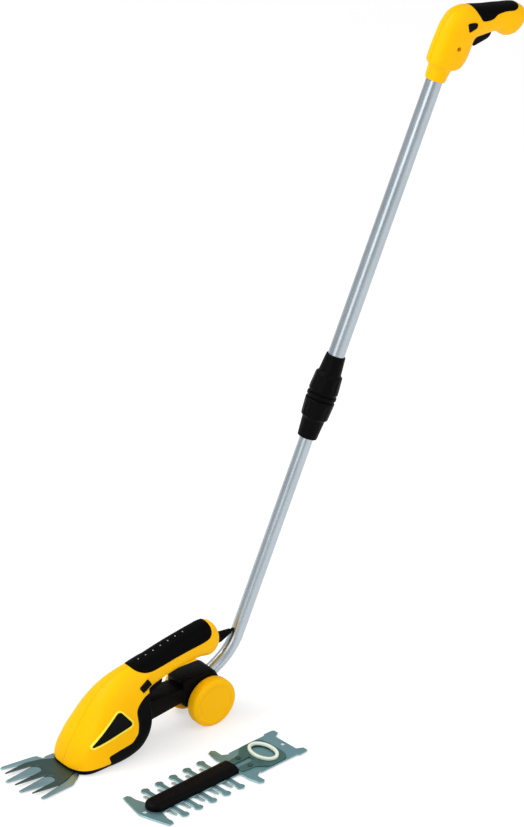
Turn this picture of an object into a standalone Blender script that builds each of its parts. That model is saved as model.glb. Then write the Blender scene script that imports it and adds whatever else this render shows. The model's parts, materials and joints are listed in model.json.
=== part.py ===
"""Cordless grass shears on a wheeled telescopic pole, with the spare shrub blade beside them.

Lengths below are millimetres and become metres when a mesh is made. X = 0 is the middle plane of
the shears, Y = 0 the wheels' axle, Z = 0 the ground, and the blades point to -Y. At the end the
whole model is shifted so that its origin is the middle of its footprint.
"""

import math

import bmesh
import bpy
import numpy as np
from mathutils import Vector
from mathutils.bvhtree import BVHTree

MM = 0.001
GAP = 0.3

# Shear unit
HEAD_WALL = 2.2
HANDLE_WALL = 3.9
GRIP_THICKNESS = 1.8
GRIP_PROUD = 0.4
LABEL_THICKNESS = 1.0
LABEL_PROUD = 0.2
SOLE_THICKNESS = 1.6
RING_POINTS = 20
SKIN_STEPS = 1
CARRIAGE_CLEARANCE = 0.6

# Grass blade
COMB_THICKNESS = 1.4
BLADE_THICKNESS = 1.2
COMB_TOOTH_SPACING = 29.2
COMB_TIP_Y = -296.0
PIVOT_Y = -200.0
PIVOT_RADIUS = 3.7

# Gear train
GEAR_Y = -165.0
GEAR_MODULE = 1.25
GEAR_TEETH = 24
PINION_TEETH = 8
GEAR_BOTTOM = 8.0
GEAR_HEIGHT = 5.0
ECCENTRIC = 5.0
ECCENTRIC_PIN_RADIUS = 2.0
BLADE_SWING = math.radians(8.2)
MOTOR_RADIUS = 13.8
MOTOR_LENGTH = 38.0
BATTERY_RADIUS = 9.2
BATTERY_LENGTH = 65.0

# Triggers and buttons
TRIGGER_HALF_WIDTH = 7.0
TRUNNION_RADIUS = 2.0
TRUNNION_REACH = 11.0
BUTTON_PROUD = 1.2

# Wheels and carriage
WHEEL_RADIUS = 33.5
WHEEL_WIDTH = 16.0
WHEEL_SPACING = 54.0
AXLE_RADIUS = 4.0
HUB_HALF_WIDTH = 17.5
TONGUE_HALF_WIDTH = 16.0

# Pole
POLE_TILT = math.radians(23.85)
POLE_FOOT = (72.4, 128.4)
TUBE_ENTRY_ANGLE = math.radians(30.0)
TUBE_BEND_RADIUS = 80.0
TUBE_IN_CARRIAGE = 70.0
LOWER_TUBE_RADIUS = 9.0
UPPER_TUBE_RADIUS = 11.0
TUBE_WALL = 1.0
TUBE_OVERLAP = 130.0
COLLAR_START = 246.0
COLLAR_HALF = 53.5
COLLAR_RING = 9.2
NECK_START = 741.5
NECK_DEPTH = 34.0
CABLE_RADIUS = 2.2

# Spare shrub blade
SHRUB_NOSE = (150.0, -206.0)
SHRUB_TURN = math.radians(6.0)
SHRUB_TOOTH_PITCH = 24.0
SHRUB_TEETH = 5
SHRUB_HALF_WIDTH = 42.5
SHRUB_PLATE = 1.4
SHRUB_STROKE = 5.0

# Ribs of the shear's body: top point (Y, Z), bottom point (Y, Z), half widths at top and bottom,
# roundness at top and bottom.
SHEAR_RIBS = [
    (-217.0, 8.0, -217.0, 4.0, 8.0, 8.0, 2.4, 3.0),
    (-216.2, 11.5, -216.2, 2.5, 13.5, 14.5, 2.4, 3.0),
    (-213.8, 18.0, -213.8, 1.0, 19.5, 22.8, 2.4, 3.5),
    (-210.0, 27.0, -210.0, -0.5, 24.0, 29.5, 2.4, 4.5),
    (-204.5, 37.5, -204.5, -1.0, 27.0, 34.8, 2.4, 5.5),
    (-197.0, 49.0, -197.0, -1.5, 28.6, 38.4, 2.4, 6.0),
    (-186.0, 65.5, -186.0, -1.5, 29.2, 40.4, 2.4, 6.0),
    (-171.0, 85.0, -170.0, -1.0, 29.0, 41.2, 2.4, 6.0),
    (-155.0, 99.0, -151.0, -0.5, 28.6, 41.0, 2.4, 6.5),
    (-140.0, 107.5, -132.0, 3.0, 27.2, 41.4, 2.4, 6.5),
    (-128.0, 112.0, -116.5, 10.5, 25.3, 41.4, 2.4, 6.5),
    (-117.0, 114.5, -105.0, 24.0, 24.0, 40.8, 2.4, 6.0),
    (-108.0, 116.0, -100.5, 39.0, 22.5, 39.5, 2.4, 5.5),
    (-100.0, 117.5, -101.0, 52.0, 21.5, 36.5, 2.4, 4.0),
    (-92.0, 119.0, -105.5, 62.0, 20.5, 31.0, 2.4, 3.0),
    (-85.0, 120.0, -103.0, 71.5, 20.0, 26.5, 2.4, 2.6),
    (-77.0, 121.0, -93.0, 77.8, 19.5, 23.0, 2.4, 2.5),
    (-64.5, 124.5, -76.5, 82.3, 19.0, 20.6, 2.4, 2.5),
    (-46.0, 129.0, -52.0, 87.4, 18.5, 18.8, 2.4, 2.5),
    (-23.5, 133.5, -27.0, 91.2, 18.0, 18.0, 2.4, 2.5),
    (-5.0, 136.8, -7.0, 92.2, 18.0, 18.0, 2.4, 2.5),
    (5.0, 138.2, 3.0, 90.2, 18.0, 18.0, 2.4, 2.5),
    (13.0, 137.0, 10.5, 89.2, 17.5, 17.5, 2.4, 2.4),
    (19.5, 132.0, 16.5, 91.7, 16.0, 16.0, 2.3, 2.3),
    (23.7, 124.0, 20.8, 97.2, 13.0, 13.0, 2.2, 2.2),
    (25.4, 116.5, 23.6, 103.5, 8.0, 8.0, 2.1, 2.1),
]

# Ribs of the upper handle, along and behind the pole's axis from the neck: front point, rear
# point, half width.
HANDLE_RIBS = [
    (4.5, -13.4, 4.5, 13.6, 13.6),
    (13.0, -14.2, 13.0, 14.8, 14.4),
    (22.5, -15.4, 21.0, 17.5, 15.2),
    (27.0, -19.4, 22.8, 23.0, 17.0),
    (36.0, -20.6, 27.0, 29.8, 18.2),
    (50.0, -20.6, 39.0, 34.4, 18.8),
    (66.0, -19.8, 53.5, 35.2, 19.0),
    (82.5, -17.4, 62.0, 34.8, 19.0),
    (97.5, -11.0, 66.5, 36.3, 18.6),
    (106.6, 3.5, 69.0, 40.0, 18.0),
    (109.0, 20.0, 71.3, 45.5, 17.4),
    (111.2, 38.0, 74.4, 52.5, 16.8),
    (114.2, 55.0, 77.8, 61.0, 16.4),
    (116.4, 70.0, 78.5, 68.5, 16.6),
    (118.4, 81.0, 76.0, 76.5, 17.0),
    (118.9, 91.0, 74.3, 85.0, 17.0),
    (116.2, 100.5, 76.8, 94.5, 15.6),
    (111.0, 106.3, 83.5, 101.5, 12.2),
    (105.0, 108.3, 92.0, 105.5, 7.2),
]


def clear_scene():
    """Remove every object that the file opened with."""
    for item in list(bpy.data.objects):
        bpy.data.objects.remove(item, do_unlink=True)


def linear(hex_colour):
    """Turn an sRGB hex colour into linear values."""
    values = [int(hex_colour[k:k + 2], 16) / 255.0 for k in (0, 2, 4)]
    return [v / 12.92 if v <= 0.04045 else ((v + 0.055) / 1.055) ** 2.4 for v in values]


def finish(name, hex_colour, roughness, metallic=0.0):
    """Make one plain material."""
    material = bpy.data.materials.new(name)
    material.use_nodes = True
    shader = material.node_tree.nodes["Principled BSDF"]
    shader.inputs["Base Color"].default_value = (*linear(hex_colour), 1.0)
    shader.inputs["Roughness"].default_value = roughness
    shader.inputs["Metallic"].default_value = metallic
    return material


clear_scene()
ROOT = bpy.data.objects.new("shears_frame", None)
bpy.context.collection.objects.link(ROOT)

YELLOW = finish("yellow_abs", "FDC008", 0.38)
BLACK = finish("black_abs", "17181A", 0.5)
SOFT_BLACK = finish("soft_black_grip", "101113", 0.75)
ALUMINIUM = finish("satin_aluminium", "C3CBD0", 0.32, 1.0)
STEEL = finish("blade_steel", "8FA3A3", 0.34, 1.0)
DARK_STEEL = finish("dark_steel", "565D60", 0.4, 1.0)
BRASS = finish("brass", "B8974A", 0.35, 1.0)
CELL_SLEEVE = finish("cell_sleeve", "2E6F9E", 0.45)
BOARD_GREEN = finish("board_green", "1F5A3A", 0.5)
PALE_PLASTIC = finish("pale_plastic", "DCE3D2", 0.45)


def build_mesh(name, points, faces):
    """Make a mesh in metres from points in millimetres, with its faces pointing out."""
    mesh = bpy.data.meshes.new(name)
    mesh.from_pydata([tuple(float(c) * MM for c in point) for point in points], [], faces)
    shape = bmesh.new()
    shape.from_mesh(mesh)
    bmesh.ops.recalc_face_normals(shape, faces=shape.faces)
    shape.to_mesh(mesh)
    shape.free()
    return mesh


def piece(name, shape, material, parent=None, smooth_angle=35.0):
    """Make one named piece of the object."""
    mesh = build_mesh(name, *shape)
    mesh.materials.append(material)
    mesh.shade_smooth()
    mesh.set_sharp_from_angle(angle=math.radians(smooth_angle))
    item = bpy.data.objects.new(name, mesh)
    bpy.context.collection.objects.link(item)
    carrier = parent or ROOT
    item.parent = carrier
    if parent:
        item.location = -Vector(parent.location)
    return item


def guide(name, shape):
    """Make a hidden shape that only cuts or trims other pieces."""
    item = bpy.data.objects.new(name, build_mesh(name, *shape))
    bpy.context.collection.objects.link(item)
    item.parent = ROOT
    item.hide_render = True
    item.display_type = "WIRE"
    return item


def joint_empty(name, place, parent=None):
    """Put an empty on a joint's axis; the pieces that turn or slide hang from it."""
    item = bpy.data.objects.new(name, None)
    bpy.context.collection.objects.link(item)
    item.parent = ROOT
    item.location = Vector(place) * MM
    item.empty_display_size = 0.01
    return item


def combine(target, other, operation="DIFFERENCE"):
    """Cut, join or trim a piece with another shape."""
    modifier = target.modifiers.new(other.name, "BOOLEAN")
    modifier.operation = operation
    modifier.solver = "EXACT"
    modifier.object = other
    return target


def bevel(target, width, segments=2):
    """Round the edges of a piece."""
    modifier = target.modifiers.new("rounding", "BEVEL")
    modifier.width = width * MM
    modifier.segments = segments
    modifier.limit_method = "ANGLE"
    modifier.angle_limit = math.radians(30.0)
    return target


def smooth_rows(rows, steps):
    """Run a Catmull-Rom curve through rows of numbers, with so many steps between two rows."""
    rows = np.array(rows, dtype=float)
    if steps == 1:
        return rows
    padded = np.vstack([2 * rows[0] - rows[1], rows, 2 * rows[-1] - rows[-2]])
    result = []
    for k in range(len(rows) - 1):
        before, start, stop, after = padded[k:k + 4]
        for j in range(steps):
            t = j / steps
            square = (2 * before - 5 * start + 4 * stop - after) * t * t
            cube = (3 * start - before - 3 * stop + after) * t ** 3
            result.append(0.5 * (2 * start + (stop - before) * t + square + cube))
    result.append(rows[-1])
    return np.array(result)


def rib_ring(rib, count, floor):
    """Points of one rounded section that stands between a top and a bottom point."""
    top = rib[0:2]
    bottom = rib[2:4]
    angle = 2 * math.pi * np.arange(count) / count
    cosine = np.cos(angle)
    sine = np.sin(angle)
    power = 2.0 / np.where(cosine >= 0, rib[6], rib[7])
    height = np.sign(cosine) * np.abs(cosine).round(9) ** power
    side = np.sign(sine) * np.abs(sine).round(9) ** power
    width = rib[5] + (rib[4] - rib[5]) * (height + 1) / 2
    middle = (top + bottom) / 2
    half = (top - bottom) / 2
    ring = np.empty((count, 3))
    ring[:, 0] = side * width
    ring[:, 1] = middle[0] + half[0] * height
    ring[:, 2] = np.maximum(middle[1] + half[1] * height, floor)
    return ring


def loft(rings):
    """Skin a row of rings of equal count into a closed solid."""
    count = len(rings[0])
    faces = []
    for k in range(len(rings) - 1):
        for j in range(count):
            a = k * count + j
            b = k * count + (j + 1) % count
            faces.append((a, b, b + count, a + count))
    last = (len(rings) - 1) * count
    faces.append(tuple(range(count)))
    faces.append(tuple(range(last, last + count)))
    return np.vstack(rings), faces


def grown(outline, amount):
    """Move an outline outwards by an amount, or by an amount for each of its points."""
    points = np.array(outline, dtype=float)
    following = np.roll(points, -1, axis=0)
    area = np.sum(points[:, 0] * following[:, 1] - following[:, 0] * points[:, 1])
    edges = following - points
    normals = np.stack([edges[:, 1], -edges[:, 0]], axis=1) * np.sign(area)
    normals /= np.linalg.norm(normals, axis=1)[:, None]
    corner = normals + np.roll(normals, 1, axis=0)
    corner /= np.maximum(1.0, np.sum(corner * corner, axis=1) / 2)[:, None]
    return [tuple(p) for p in points + corner * np.reshape(amount, (-1, 1))]


def inset_ribs(ribs, insets):
    """Shrink ribs: their side profile moves inwards and their widths lose the same amount."""
    count = len(ribs)
    profile = np.vstack([ribs[:, 0:2], ribs[::-1, 2:4]])
    profile = np.array(grown(profile, -np.concatenate([insets, insets[::-1]])))
    shrunk = ribs.copy()
    shrunk[:, 0:2] = profile[:count]
    shrunk[:, 2:4] = profile[count:][::-1]
    shrunk[:, 4:6] -= insets[:, None]
    return shrunk


def shear_form(head_inset, handle_inset, floor=0.0):
    """The shear's body, its skin moved inwards by one amount in the head and one in the handle."""
    ribs = np.array(SHEAR_RIBS)
    share = np.clip((ribs[:, 0] + 112.0) / 36.0, 0.0, 1.0)
    insets = head_inset + (handle_inset - head_inset) * share
    rows = smooth_rows(inset_ribs(ribs, insets), SKIN_STEPS)
    return loft([rib_ring(row, RING_POINTS, floor) for row in rows])


POLE_AXIS = (math.sin(POLE_TILT), math.cos(POLE_TILT))
POLE_REAR = (math.cos(POLE_TILT), -math.sin(POLE_TILT))


def on_pole(along, behind=0.0):
    """The (Y, Z) of a point along the pole's axis and behind it."""
    return (
        POLE_FOOT[0] + along * POLE_AXIS[0] + behind * POLE_REAR[0],
        POLE_FOOT[1] + along * POLE_AXIS[1] + behind * POLE_REAR[1],
    )


def on_handle(along, behind):
    """The (Y, Z) of a point measured from the bottom of the handle's neck."""
    return on_pole(NECK_START + along, behind)


def handle_form(body_inset, grip_inset):
    """The upper handle's body, its skin moved inwards."""
    ribs = np.array(HANDLE_RIBS)
    share = np.clip((ribs[:, 1] + 8.0) / 16.0, 0.0, 1.0)
    rows = np.zeros((len(ribs), 8))
    for k, rib in enumerate(ribs):
        rows[k, 0:2] = on_handle(rib[0], rib[1])
        rows[k, 2:4] = on_handle(rib[2], rib[3])
        rows[k, 4:6] = rib[4]
        rows[k, 6:8] = 2.0 if k < 3 else 2.4
    insets = body_inset + (grip_inset - body_inset) * share
    rows = smooth_rows(inset_ribs(rows, insets), SKIN_STEPS)
    return loft([rib_ring(row, RING_POINTS - 2, 0.0) for row in rows])


def prism(outline, low, high, across="X"):
    """Extrude an outline: (Y, Z) points along X, or (X, Y) points along Z."""
    count = len(outline)
    points = []
    for level in (low, high):
        for a, b in outline:
            points.append((level, a, b) if across == "X" else (a, b, level))
    faces = [(k, (k + 1) % count, (k + 1) % count + count, k + count) for k in range(count)]
    faces.append(tuple(range(count)))
    faces.append(tuple(range(count, 2 * count)))
    return points, faces


def box(low, high):
    """A box between two corners."""
    outline = [(low[0], low[1]), (high[0], low[1]), (high[0], high[1]), (low[0], high[1])]
    return prism(outline, low[2], high[2], "Z")


def rounded(outline, radius, steps=3):
    """Round the corners of an outline with short curves."""
    result = []
    count = len(outline)
    for k in range(count):
        corner = np.array(outline[k], dtype=float)
        before = np.array(outline[k - 1]) - corner
        after = np.array(outline[(k + 1) % count]) - corner
        reach_before = min(radius, 0.45 * np.linalg.norm(before))
        reach_after = min(radius, 0.45 * np.linalg.norm(after))
        start = corner + before / np.linalg.norm(before) * reach_before
        stop = corner + after / np.linalg.norm(after) * reach_after
        for j in range(steps + 1):
            t = j / steps
            result.append(tuple((1 - t) ** 2 * start + 2 * t * (1 - t) * corner + t * t * stop))
    return result


def turned(profile, centre, axis, sides):
    """Turn a profile of (radius, distance along the axis) about an axis.

    A profile that starts and ends on the axis is a plain solid; any other is a closed ring.
    """
    axis = np.array(axis, dtype=float)
    axis /= np.linalg.norm(axis)
    across = np.array((0.0, 1.0, 0.0)) if abs(axis[0]) > 0.5 else np.array((1.0, 0.0, 0.0))
    third = np.cross(axis, across)
    solid = profile[0][0] == 0
    rows = profile[1:-1] if solid else profile
    angles = 2 * math.pi * np.arange(sides) / sides
    points = []
    for radius, along in rows:
        for a in angles:
            spoke = math.cos(a) * across + math.sin(a) * third
            points.append(np.array(centre) + along * axis + radius * spoke)
    faces = []
    for k in range(len(rows) - (1 if solid else 0)):
        for j in range(sides):
            a = k * sides + j
            b = k * sides + (j + 1) % sides
            c = (k + 1) % len(rows) * sides + (j + 1) % sides
            d = (k + 1) % len(rows) * sides + j
            faces.append((a, b, c, d))
    if solid:
        start = len(points)
        points.append(np.array(centre) + profile[0][1] * axis)
        points.append(np.array(centre) + profile[-1][1] * axis)
        last = (len(rows) - 1) * sides
        for j in range(sides):
            after = (j + 1) % sides
            faces.append((start, j, after))
            faces.append((start + 1, last + j, last + after))
    return points, faces


def rod(start, stop, radius, sides=16):
    """A plain cylinder between two points."""
    start = np.array(start, dtype=float)
    reach = np.array(stop, dtype=float) - start
    length = np.linalg.norm(reach)
    return turned([(0, 0), (radius, 0), (radius, length), (0, length)], start, reach, sides)


def sleeve(start, stop, outer, inner, sides=24):
    """A cylinder with a bore between two points."""
    start = np.array(start, dtype=float)
    reach = np.array(stop, dtype=float) - start
    length = np.linalg.norm(reach)
    return turned([(outer, 0), (outer, length), (inner, length), (inner, 0)], start, reach, sides)


def swept(path, outer, inner, sides=20):
    """Carry a round section along (Y, Z) points of the middle plane, with or without a bore."""
    path = np.array(path, dtype=float)
    tangents = np.gradient(path, axis=0)
    tangents[0] = path[1] - path[0]
    tangents[-1] = path[-1] - path[-2]
    tangents /= np.linalg.norm(tangents, axis=1)[:, None]
    angles = 2 * math.pi * np.arange(sides) / sides

    def rings(radius):
        result = []
        for place, tangent in zip(path, tangents):
            ring = np.empty((sides, 3))
            ring[:, 0] = radius * np.cos(angles)
            ring[:, 1] = place[0] - tangent[1] * radius * np.sin(angles)
            ring[:, 2] = place[1] + tangent[0] * radius * np.sin(angles)
            result.append(ring)
        return result

    if not inner:
        return loft(rings(outer))
    rows = rings(outer) + rings(inner)[::-1]
    points = np.vstack(rows)
    faces = []
    for k in range(len(rows)):
        for j in range(sides):
            a = k * sides + j
            b = k * sides + (j + 1) % sides
            c = (k + 1) % len(rows) * sides + (j + 1) % sides
            d = (k + 1) % len(rows) * sides + j
            faces.append((a, b, c, d))
    return points, faces


def skin_reach(form, y, z):
    """Distance from the middle plane to a form's left side at a height and a length."""
    points, faces = form
    tree = BVHTree.FromPolygons([tuple(p) for p in points], faces)
    hit = tree.ray_cast(Vector((200.0, y, z)), Vector((-1.0, 0.0, 0.0)))
    return hit[0].x


# Forms that the shear unit is cut from
SHEAR_SKIN = shear_form(0.0, 0.0)
shear_outer = guide("shear_outer", SHEAR_SKIN)
shear_inner = guide("shear_inner", shear_form(HEAD_WALL, HANDLE_WALL, SOLE_THICKNESS))
shear_middle = guide("shear_middle", shear_form(HEAD_WALL / 2, HANDLE_WALL - 0.9, 0.8))
shear_proud = guide("shear_proud", shear_form(-GRIP_PROUD, -GRIP_PROUD))
shear_under_grip = guide("shear_under_grip", shear_form(GRIP_THICKNESS, GRIP_THICKNESS))
shear_grip_seat = guide("shear_grip_seat", shear_form(GRIP_THICKNESS + GAP, GRIP_THICKNESS + GAP))
shear_clear = guide("shear_clear", shear_form(-CARRIAGE_CLEARANCE, -CARRIAGE_CLEARANCE, -5.0))

SKIRT_LINE = [
    (-240.0, 7.6), (-166.8, 7.6), (-171.5, 19.0), (-133.5, 26.0), (-123.5, 36.0),
    (-121.5, 48.0), (-122.5, 66.0), (-118.0, 73.5), (-108.5, 81.3), (-99.0, 85.2), (-92.6, 84.0),
]
SKIRT_OUTLINE = rounded(SKIRT_LINE, 4.0, 2)[1:-1] + [(-92.0, -20.0), (-240.0, -20.0)]
GRIP_OUTLINE = rounded([
    (-121.0, 150.0), (-113.0, 114.5), (-102.0, 109.0), (-88.0, 107.8), (-71.0, 109.8),
    (-52.0, 113.0), (-28.0, 116.0), (-7.0, 118.5), (5.0, 121.5), (9.5, 130.0), (8.0, 150.0),
], 5.0, 2)
LABEL_OUTLINE = rounded([(-195.0, 36.5), (-148.5, 75.5), (-129.5, 51.5)], 5.5, 3)
BLADE_SLOT_TOP = SOLE_THICKNESS + COMB_THICKNESS + BLADE_THICKNESS + 3 * GAP


def side_cutter(name, outline, seat):
    """An outline cut out of both sides of the body, as deep as a seat."""
    item = guide(name, prism(outline, -70.0, 70.0))
    return combine(item, seat)


BATTERY_START = (-61.0, 104.9)
BATTERY_SLOPE = math.radians(9.0)
BATTERY_STOP = (
    BATTERY_START[0] + BATTERY_LENGTH * math.cos(BATTERY_SLOPE),
    BATTERY_START[1] + BATTERY_LENGTH * math.sin(BATTERY_SLOPE),
)
SOCKET_START = (11.5, 102.6)
SOCKET_STOP = (28.0, 104.9)
SOCKET_RADIUS = 6.0
PLUG_RADIUS = 7.2
PLUG_COLLAR = 4.0
PLUG_DIRECTION = np.array(SOCKET_STOP) - np.array(SOCKET_START)
PLUG_DIRECTION = PLUG_DIRECTION / np.linalg.norm(PLUG_DIRECTION)
SHEAR_BOSSES = [(-195.0, 22.0), (-124.5, 52.0), (-122.0, 98.0), (13.0, 122.0)]
BOSS_RADIUS = 4.5
SCREW_RADIUS = 1.4
SCREW_HEAD_RADIUS = 2.8
SCREW_SEAT = 12.0
SCREW_LENGTH = 20.0
SHEAR_TRIGGER_PIVOT = (-68.0, 92.0)
SHEAR_TRIGGER_OUTLINE = rounded([
    (-99.5, 72.5), (-97.0, 67.5), (-91.0, 66.0), (-80.0, 68.5), (-68.0, 73.0), (-64.0, 77.0),
    (-62.8, 88.0), (-64.5, 95.0), (-71.0, 95.5), (-75.0, 86.5), (-87.0, 86.5), (-98.0, 81.0),
], 1.6, 1)
SHEAR_TRIGGER_SLOT = [
    (-104.0, 58.0), (-104.0, 82.0), (-99.0, 92.0), (-75.0, 97.0), (-62.3, 97.0), (-61.0, 82.0),
]
LOCK_CENTRE = (-103.5, 93.7)
LOCK_TURN = math.radians(29.0)
LOCK_HALF_LENGTH = 8.0
LOCK_HALF_HEIGHT = 4.5


def turned_rectangle(centre, half_length, half_height, turn):
    """Corners of a rectangle that is turned in its plane."""
    along = np.array((math.cos(turn), math.sin(turn)))
    up = np.array((-math.sin(turn), math.cos(turn)))
    signs = ((-1, -1), (1, -1), (1, 1), (-1, 1))
    return [tuple(np.array(centre) + a * half_length * along + b * half_height * up)
            for a, b in signs]


LOCK_OUTLINE = rounded(
    turned_rectangle(LOCK_CENTRE, LOCK_HALF_LENGTH, LOCK_HALF_HEIGHT, LOCK_TURN), 1.5, 2)


def boss(form, name, place, side, middle):
    """Join a screw boss to a housing and bore it for a screw that comes in from one side."""
    y, z = place
    post = guide(name + "_post", rod((-60, y, z), (60, y, z), BOSS_RADIUS, 12))
    combine(post, middle, "INTERSECT")
    combine(form, post, "UNION")
    seat = side * SCREW_SEAT
    tip = seat - side * (SCREW_LENGTH + 1.0)
    profile = [
        (0, 0), (SCREW_RADIUS + GAP, 0), (SCREW_RADIUS + GAP, SCREW_LENGTH + 1.0),
        (SCREW_HEAD_RADIUS + GAP, SCREW_LENGTH + 1.0), (SCREW_HEAD_RADIUS + GAP, 80), (0, 80),
    ]
    return guide(name + "_bore", turned(profile, (tip, y, z), (side, 0, 0), 12))


def screw(name, place, side, parent=None):
    """A plain screw in its boss."""
    y, z = place
    shape = turned(
        [(0, 0), (SCREW_RADIUS, 0), (SCREW_RADIUS, SCREW_LENGTH), (SCREW_HEAD_RADIUS, SCREW_LENGTH),
         (SCREW_HEAD_RADIUS, SCREW_LENGTH + 1.6), (0, SCREW_LENGTH + 1.6)],
        (side * (SCREW_SEAT + GAP - SCREW_LENGTH), y, z), (side, 0, 0), 12)
    return piece(name, shape, DARK_STEEL, parent)


def build_housing():
    """The two yellow halves of the shear unit, cut from one hollow form."""
    form = guide("housing_form", SHEAR_SKIN)
    combine(form, shear_inner)
    for k, along in enumerate((12.0, 52.0)):
        place = np.array(BATTERY_START) + along * np.array(
            (math.cos(BATTERY_SLOPE), math.sin(BATTERY_SLOPE)))
        slab = guide(f"cell_rib_{k}", prism(
            turned_rectangle(place, 1.0, 40.0, BATTERY_SLOPE), -30.0, 30.0))
        combine(slab, shear_middle, "INTERSECT")
        combine(form, slab, "UNION")
    trunnion_block = guide("trigger_block", prism(
        [(-72.5, 84.0), (-63.8, 84.0), (-63.8, 95.5), (-72.5, 95.5)], -30.0, 30.0))
    combine(trunnion_block, shear_middle, "INTERSECT")
    combine(form, trunnion_block, "UNION")
    bores = [boss(form, f"shear_boss_{k}", place, -1, shear_middle)
             for k, place in enumerate(SHEAR_BOSSES)]
    y, z = SHEAR_TRIGGER_PIVOT
    reach = TRUNNION_REACH + GAP
    slot = TRIGGER_HALF_WIDTH + 2 * GAP
    socket_length = math.dist(SOCKET_START, SOCKET_STOP)
    skirt_clearance = grown(SKIRT_OUTLINE, GAP)
    cutters = [
        guide("cell_space", rod((0, *BATTERY_START), (0, *BATTERY_STOP), BATTERY_RADIUS + GAP, 20)),
        guide("skirt_clearance", prism(skirt_clearance, -60.0, 60.0)),
        side_cutter("grip_recess", grown(GRIP_OUTLINE, GAP), shear_grip_seat),
        guide("blade_slot", box((-36.5, -240.0, -1.0), (36.5, -203.0, BLADE_SLOT_TOP))),
        guide("sole_pocket", box((-27.5, -203.0, SOLE_THICKNESS), (27.5, -151.0, 8.0))),
        guide("trigger_slot", prism(SHEAR_TRIGGER_SLOT, -slot, slot)),
        guide("trunnion_hole", rod((-reach, y, z), (reach, y, z), TRUNNION_RADIUS + GAP, 12)),
        guide("lock_hole", prism(grown(LOCK_OUTLINE, GAP), 10.0, 60.0)),
        guide("socket_hole", turned(
            [(0, -GAP), (SOCKET_RADIUS + GAP, -GAP), (SOCKET_RADIUS + GAP, socket_length),
             (PLUG_RADIUS + GAP, socket_length), (PLUG_RADIUS + GAP, 40), (0, 40)],
            (0, *SOCKET_START), (0, *PLUG_DIRECTION), 16)),
        guide("label_recess", prism(grown(LABEL_OUTLINE, GAP), -70.0, 70.0)),
    ]
    combine(cutters[-1], guide(
        "label_seat", shear_form(LABEL_THICKNESS + GAP, LABEL_THICKNESS + GAP)))
    for cutter in cutters + bores:
        combine(form, cutter)
    for name, low, high in (("housing_left", GAP / 2, 70.0), ("housing_right", -70.0, -GAP / 2)):
        half = piece(name, box((low, -250.0, -20.0), (high, 60.0, 160.0)), YELLOW)
        combine(half, form, "INTERSECT")


def build_shear_skins():
    """Skirt, soft grip and the two bare label panels."""
    skirt = piece("base_skirt", SHEAR_SKIN, BLACK)
    combine(skirt, guide("skirt_zone", prism(SKIRT_OUTLINE, -60.0, 60.0)), "INTERSECT")
    combine(skirt, shear_inner)
    combine(skirt, guide("skirt_slot", box(
        (-36.5, -240.0, SOLE_THICKNESS), (36.5, -203.0, BLADE_SLOT_TOP))))
    for name in ("sole_pocket", "trigger_slot"):
        combine(skirt, bpy.data.objects[name])
    grip = piece("grip_sleeve", prism(GRIP_OUTLINE, -60.0, 60.0), SOFT_BLACK)
    combine(grip, shear_proud, "INTERSECT")
    combine(grip, shear_under_grip)
    label_proud = guide("label_proud", shear_form(-LABEL_PROUD, -LABEL_PROUD))
    label_under = guide("label_under", shear_form(LABEL_THICKNESS, LABEL_THICKNESS))
    for name, low, high in (("label_panel_left", 5.0, 70.0), ("label_panel_right", -70.0, -5.0)):
        panel = piece(name, prism(LABEL_OUTLINE, low, high), BLACK)
        combine(panel, label_proud, "INTERSECT")
        combine(panel, label_under)


def build_shear_controls():
    """Trigger with its moulded pins, and the lock button in the left side."""
    y, z = SHEAR_TRIGGER_PIVOT
    hinge = joint_empty("shear_trigger_axis", (0, y, z))
    width = TRIGGER_HALF_WIDTH
    trigger = piece("shear_trigger", prism(SHEAR_TRIGGER_OUTLINE, -width, width), BLACK, hinge)
    pins = guide("shear_trunnions", rod(
        (-TRUNNION_REACH, y, z), (TRUNNION_REACH, y, z), TRUNNION_RADIUS, 12))
    combine(trigger, pins, "UNION")
    reach = skin_reach(SHEAR_SKIN, *LOCK_CENTRE) + BUTTON_PROUD
    slide = joint_empty("shear_lock_axis", (reach, *LOCK_CENTRE))
    button = piece("shear_lock_button", prism(LOCK_OUTLINE, reach - 12.0, reach), BLACK, slide)
    bevel(button, 0.6, 1)


COMB_BOTTOM = SOLE_THICKNESS + GAP
BLADE_BOTTOM = COMB_BOTTOM + COMB_THICKNESS + GAP


def comb_outline():
    """Outline of the fixed comb: four blunt teeth, round gullets, shoulders and a neck."""
    spacing = COMB_TOOTH_SPACING
    gullet_y = -252.0
    gullet = 5.4
    tips = [(-1.5 * spacing, COMB_TIP_Y + 13.0), (-0.5 * spacing, COMB_TIP_Y),
            (0.5 * spacing, COMB_TIP_Y), (1.5 * spacing, COMB_TIP_Y + 13.0)]
    outline = [(-22.0, -183.0), (-22.0, -203.0), (-34.0, -207.0), (-34.5, -219.0),
               (-32.0, -224.0), (-41.0, -228.0), (-43.0, -234.0), (-47.0, tips[0][1] + 6.0)]
    for k, (x, y) in enumerate(tips):
        outline += [(x - 2.6, y + 2.2), (x - 1.0, y), (x + 1.0, y), (x + 2.6, y + 2.2)]
        if k < 3:
            centre = x + spacing / 2
            for j in range(7):
                angle = math.pi * j / 6
                outline.append((centre - gullet * math.cos(angle),
                                gullet_y + gullet * math.sin(angle)))
    outline += [(47.0, tips[0][1] + 6.0), (43.0, -234.0), (41.0, -229.0), (33.0, -217.5),
                (25.0, -208.0), (22.0, -203.0), (22.0, -183.0)]
    return outline


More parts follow.
